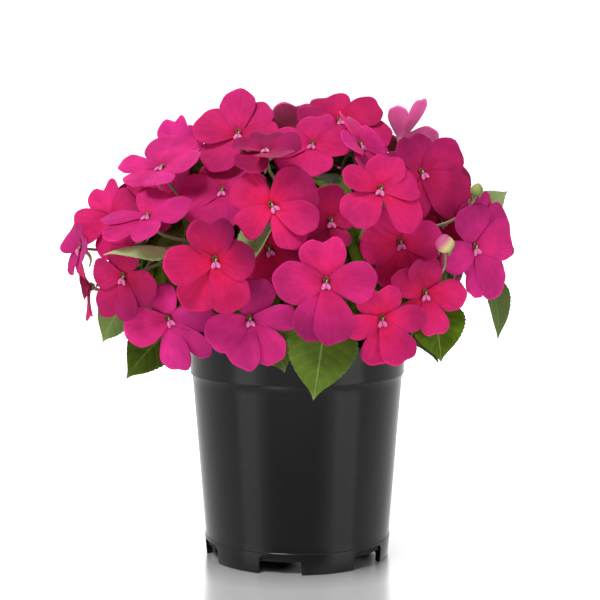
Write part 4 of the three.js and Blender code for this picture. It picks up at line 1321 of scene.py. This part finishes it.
class BUSY_LIZZIE_OT_stage(bpy.types.Operator):
    """Set up the pale floor, the soft studio light and the camera"""

    bl_idname = "busy_lizzie.make_stage"
    bl_label = "Stage"

    def execute(self, context):
        self.floor()
        self.world(context.scene)
        # Name, place, what it looks at, size and power of each softbox, in metres and watts.
        self.lamp("key_softbox", (-0.4, -0.7, 1.2), (0, 0, 0.17), (0.4, 0.4), 12.5)
        self.lamp("fill_softbox", (0.8, -1.0, 0.7), (0, 0, 0.15), (0.6, 0.6), 0.8)
        self.lamp("left_strip", (-0.96, -0.66, 0.15), (0, 0, 0.08), (0.5, 0.8), 2.6)
        self.lamp("right_strip", (0.98, -0.64, 0.15), (0, 0, 0.08), (0.6, 0.8), 3.1)
        self.lamp("back_softbox", (0.1, 0.9, 1.0), (0, 0, 0.18), (1.0, 0.6), 5)
        self.flag()
        self.camera(context.scene)
        context.scene.view_settings.view_transform = "Standard"
        return {"FINISHED"}

    def floor(self):
        """A floor of white acrylic that glows with painted light, glossy enough to mirror the pot's foot
        softly.
        """
        deselect_all()
        bpy.ops.mesh.primitive_plane_add(size=30)
        floor = bpy.context.active_object
        floor.name = "studio_floor"
        material, shader = new_material("white_floor_with_painted_glow")
        place = add_node(material, "TexCoord")["Object"]
        away = add_node(material, "VectorMath", {0: place, 1: POT_AXIS}, operation="DISTANCE")["Value"]
        forward = add_node(material, "SeparateXYZ", {0: place})["Y"]
        path = add_node(material, "LightPath")
        # The glow is painted light. Right round the pot's foot there is none, a painted shadow; outwards
        # from there the floor glows a little for every ray. Further off it glows more for the camera only,
        # and in front it glows for what the pot mirrors only, a painted reflection.
        painted_floor_glow = 0.0
        for distance, start, end, most, rays in (
                (away, 52, 78, 0.15, 1.0), (away, 110, 350, 0.8, path["Is Camera Ray"]),
                (forward, -120, -400, 0.8, path["Is Glossy Ray"])):
            strength = add_node(material, "MapRange", {
                "Value": distance, "From Min": start * MM, "From Max": end * MM, "To Max": most})[0]
            painted_floor_glow = add_node(material, "Math", {0: strength, 1: rays, 2: painted_floor_glow}, operation="MULTIPLY_ADD")[0]
        set_inputs(material, shader, {
            "Base Color": linear("#FFFFFF"), "Roughness": 0.22, "Metallic": 0.5,
            "Emission Color": linear("#FFFFFF"), "Emission Strength": painted_floor_glow})
        set_material(floor, material)

    def flag(self):
        """A black cloth behind the camera, which darkens what the pot's front mirrors."""
        deselect_all()
        bpy.ops.mesh.primitive_plane_add(size=1)
        flag = bpy.context.active_object
        flag.name = "black_flag"
        upright = Matrix.Translation((0, -1.25, 0.3)) @ Matrix.Rotation(math.pi / 2, 4, "X")
        flag.data.transform(upright @ Matrix.Diagonal((1.7, 0.7, 1, 1)))
        material, shader = new_material("black_duvetyne_cloth")
        place = add_node(material, "TexCoord")["Object"]
        weave = add_node(material, "TexNoise", {"Vector": place, "Scale": 1 / (CLOTH_WEAVE * MM)})["Fac"]
        shades = [(0.4, "#0A0A0B"), (0.6, "#151516")]
        colour = add_node(material, "ValToRGB", {"Fac": weave}, shades)["Color"]
        set_inputs(material, shader, {"Base Color": colour, "Roughness": 1.0})
        set_material(flag, material)
        flag.visible_camera = False

    def world(self, scene):
        """White all round to look at and to mirror, and much dimmer as a light."""
        world = bpy.data.worlds.new("studio")
        world.use_nodes = True
        diffuse = add_node(world, "LightPath")["Is Diffuse Ray"]
        strength = add_node(world, "MapRange", {"Value": diffuse, "To Min": 1.25, "To Max": 0.17})[0]
        set_inputs(world, world.node_tree.nodes["Background"], {
            "Color": linear("#FFFFFF"), "Strength": strength})
        scene.world = world

    def lamp(self, name, place, target, size, power):
        data = bpy.data.lights.new(name, "AREA")
        data.shape = "RECTANGLE"
        data.size, data.size_y = size
        data.energy = power
        lamp = bpy.data.objects.new(name, data)
        bpy.context.scene.collection.objects.link(lamp)
        lamp.location = Vector(place) + POT_AXIS
        way = Vector(place) - Vector(target)
        lamp.rotation_euler = way.to_track_quat("Z", "Y").to_euler()

    def camera(self, scene):
        looks = scene.busy_lizzie_stage
        data = bpy.data.cameras.new("camera")
        data.lens = looks.lens
        data.sensor_width = 36
        camera = bpy.data.objects.new("camera", data)
        scene.collection.objects.link(camera)
        camera.location = POT_AXIS + Vector((1.5 * MM, -looks.distance, looks.height))
        camera.rotation_euler = (math.radians(90 - looks.tilt), 0, 0)
        scene.camera = camera


# ------------------------------------------------------------------ panel and registering

STEPS = [
    BUSY_LIZZIE_OT_pot, BUSY_LIZZIE_OT_soil, BUSY_LIZZIE_OT_blooms, BUSY_LIZZIE_OT_buds,
    BUSY_LIZZIE_OT_leafy_stems, BUSY_LIZZIE_OT_inner_leaves, BUSY_LIZZIE_OT_stage,
]
SETTINGS = {
    "busy_lizzie_pot": BusyLizziePotSettings,
    "busy_lizzie_blooms": BusyLizzieBloomSettings,
    "busy_lizzie_green": BusyLizzieGreenSettings,
    "busy_lizzie_stage": BusyLizzieStageSettings,
}


class BUSY_LIZZIE_PT_panel(bpy.types.Panel):
    """Lists the steps that build the plant, and their settings"""

    bl_idname = "BUSY_LIZZIE_PT_panel"
    bl_label = "Busy Lizzie"
    bl_space_type = "VIEW_3D"
    bl_region_type = "UI"
    bl_category = "Busy Lizzie"

    def draw(self, context):
        for name, group in SETTINGS.items():
            for prop in group.__annotations__:
                self.layout.prop(getattr(context.scene, name), prop)
        for step in STEPS:
            self.layout.operator(step.bl_idname)


def register():
    for group in (*SETTINGS.values(), *STEPS, BUSY_LIZZIE_PT_panel):
        bpy.utils.register_class(group)
    for name, group in SETTINGS.items():
        setattr(bpy.types.Scene, name, bpy.props.PointerProperty(type=group))


def unregister():
    for name in SETTINGS:
        delattr(bpy.types.Scene, name)
    for group in (BUSY_LIZZIE_PT_panel, *reversed(STEPS), *SETTINGS.values()):
        bpy.utils.unregister_class(group)


def main():
    register()
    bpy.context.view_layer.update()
    bpy.ops.busy_lizzie.make_pot()
    bpy.ops.busy_lizzie.make_soil()
    bpy.ops.busy_lizzie.make_blooms()
    bpy.ops.busy_lizzie.make_buds()
    bpy.ops.busy_lizzie.make_leafy_stems()
    bpy.ops.busy_lizzie.make_inner_leaves()
    bpy.ops.busy_lizzie.make_stage()


if __name__ == "__main__":
    main()
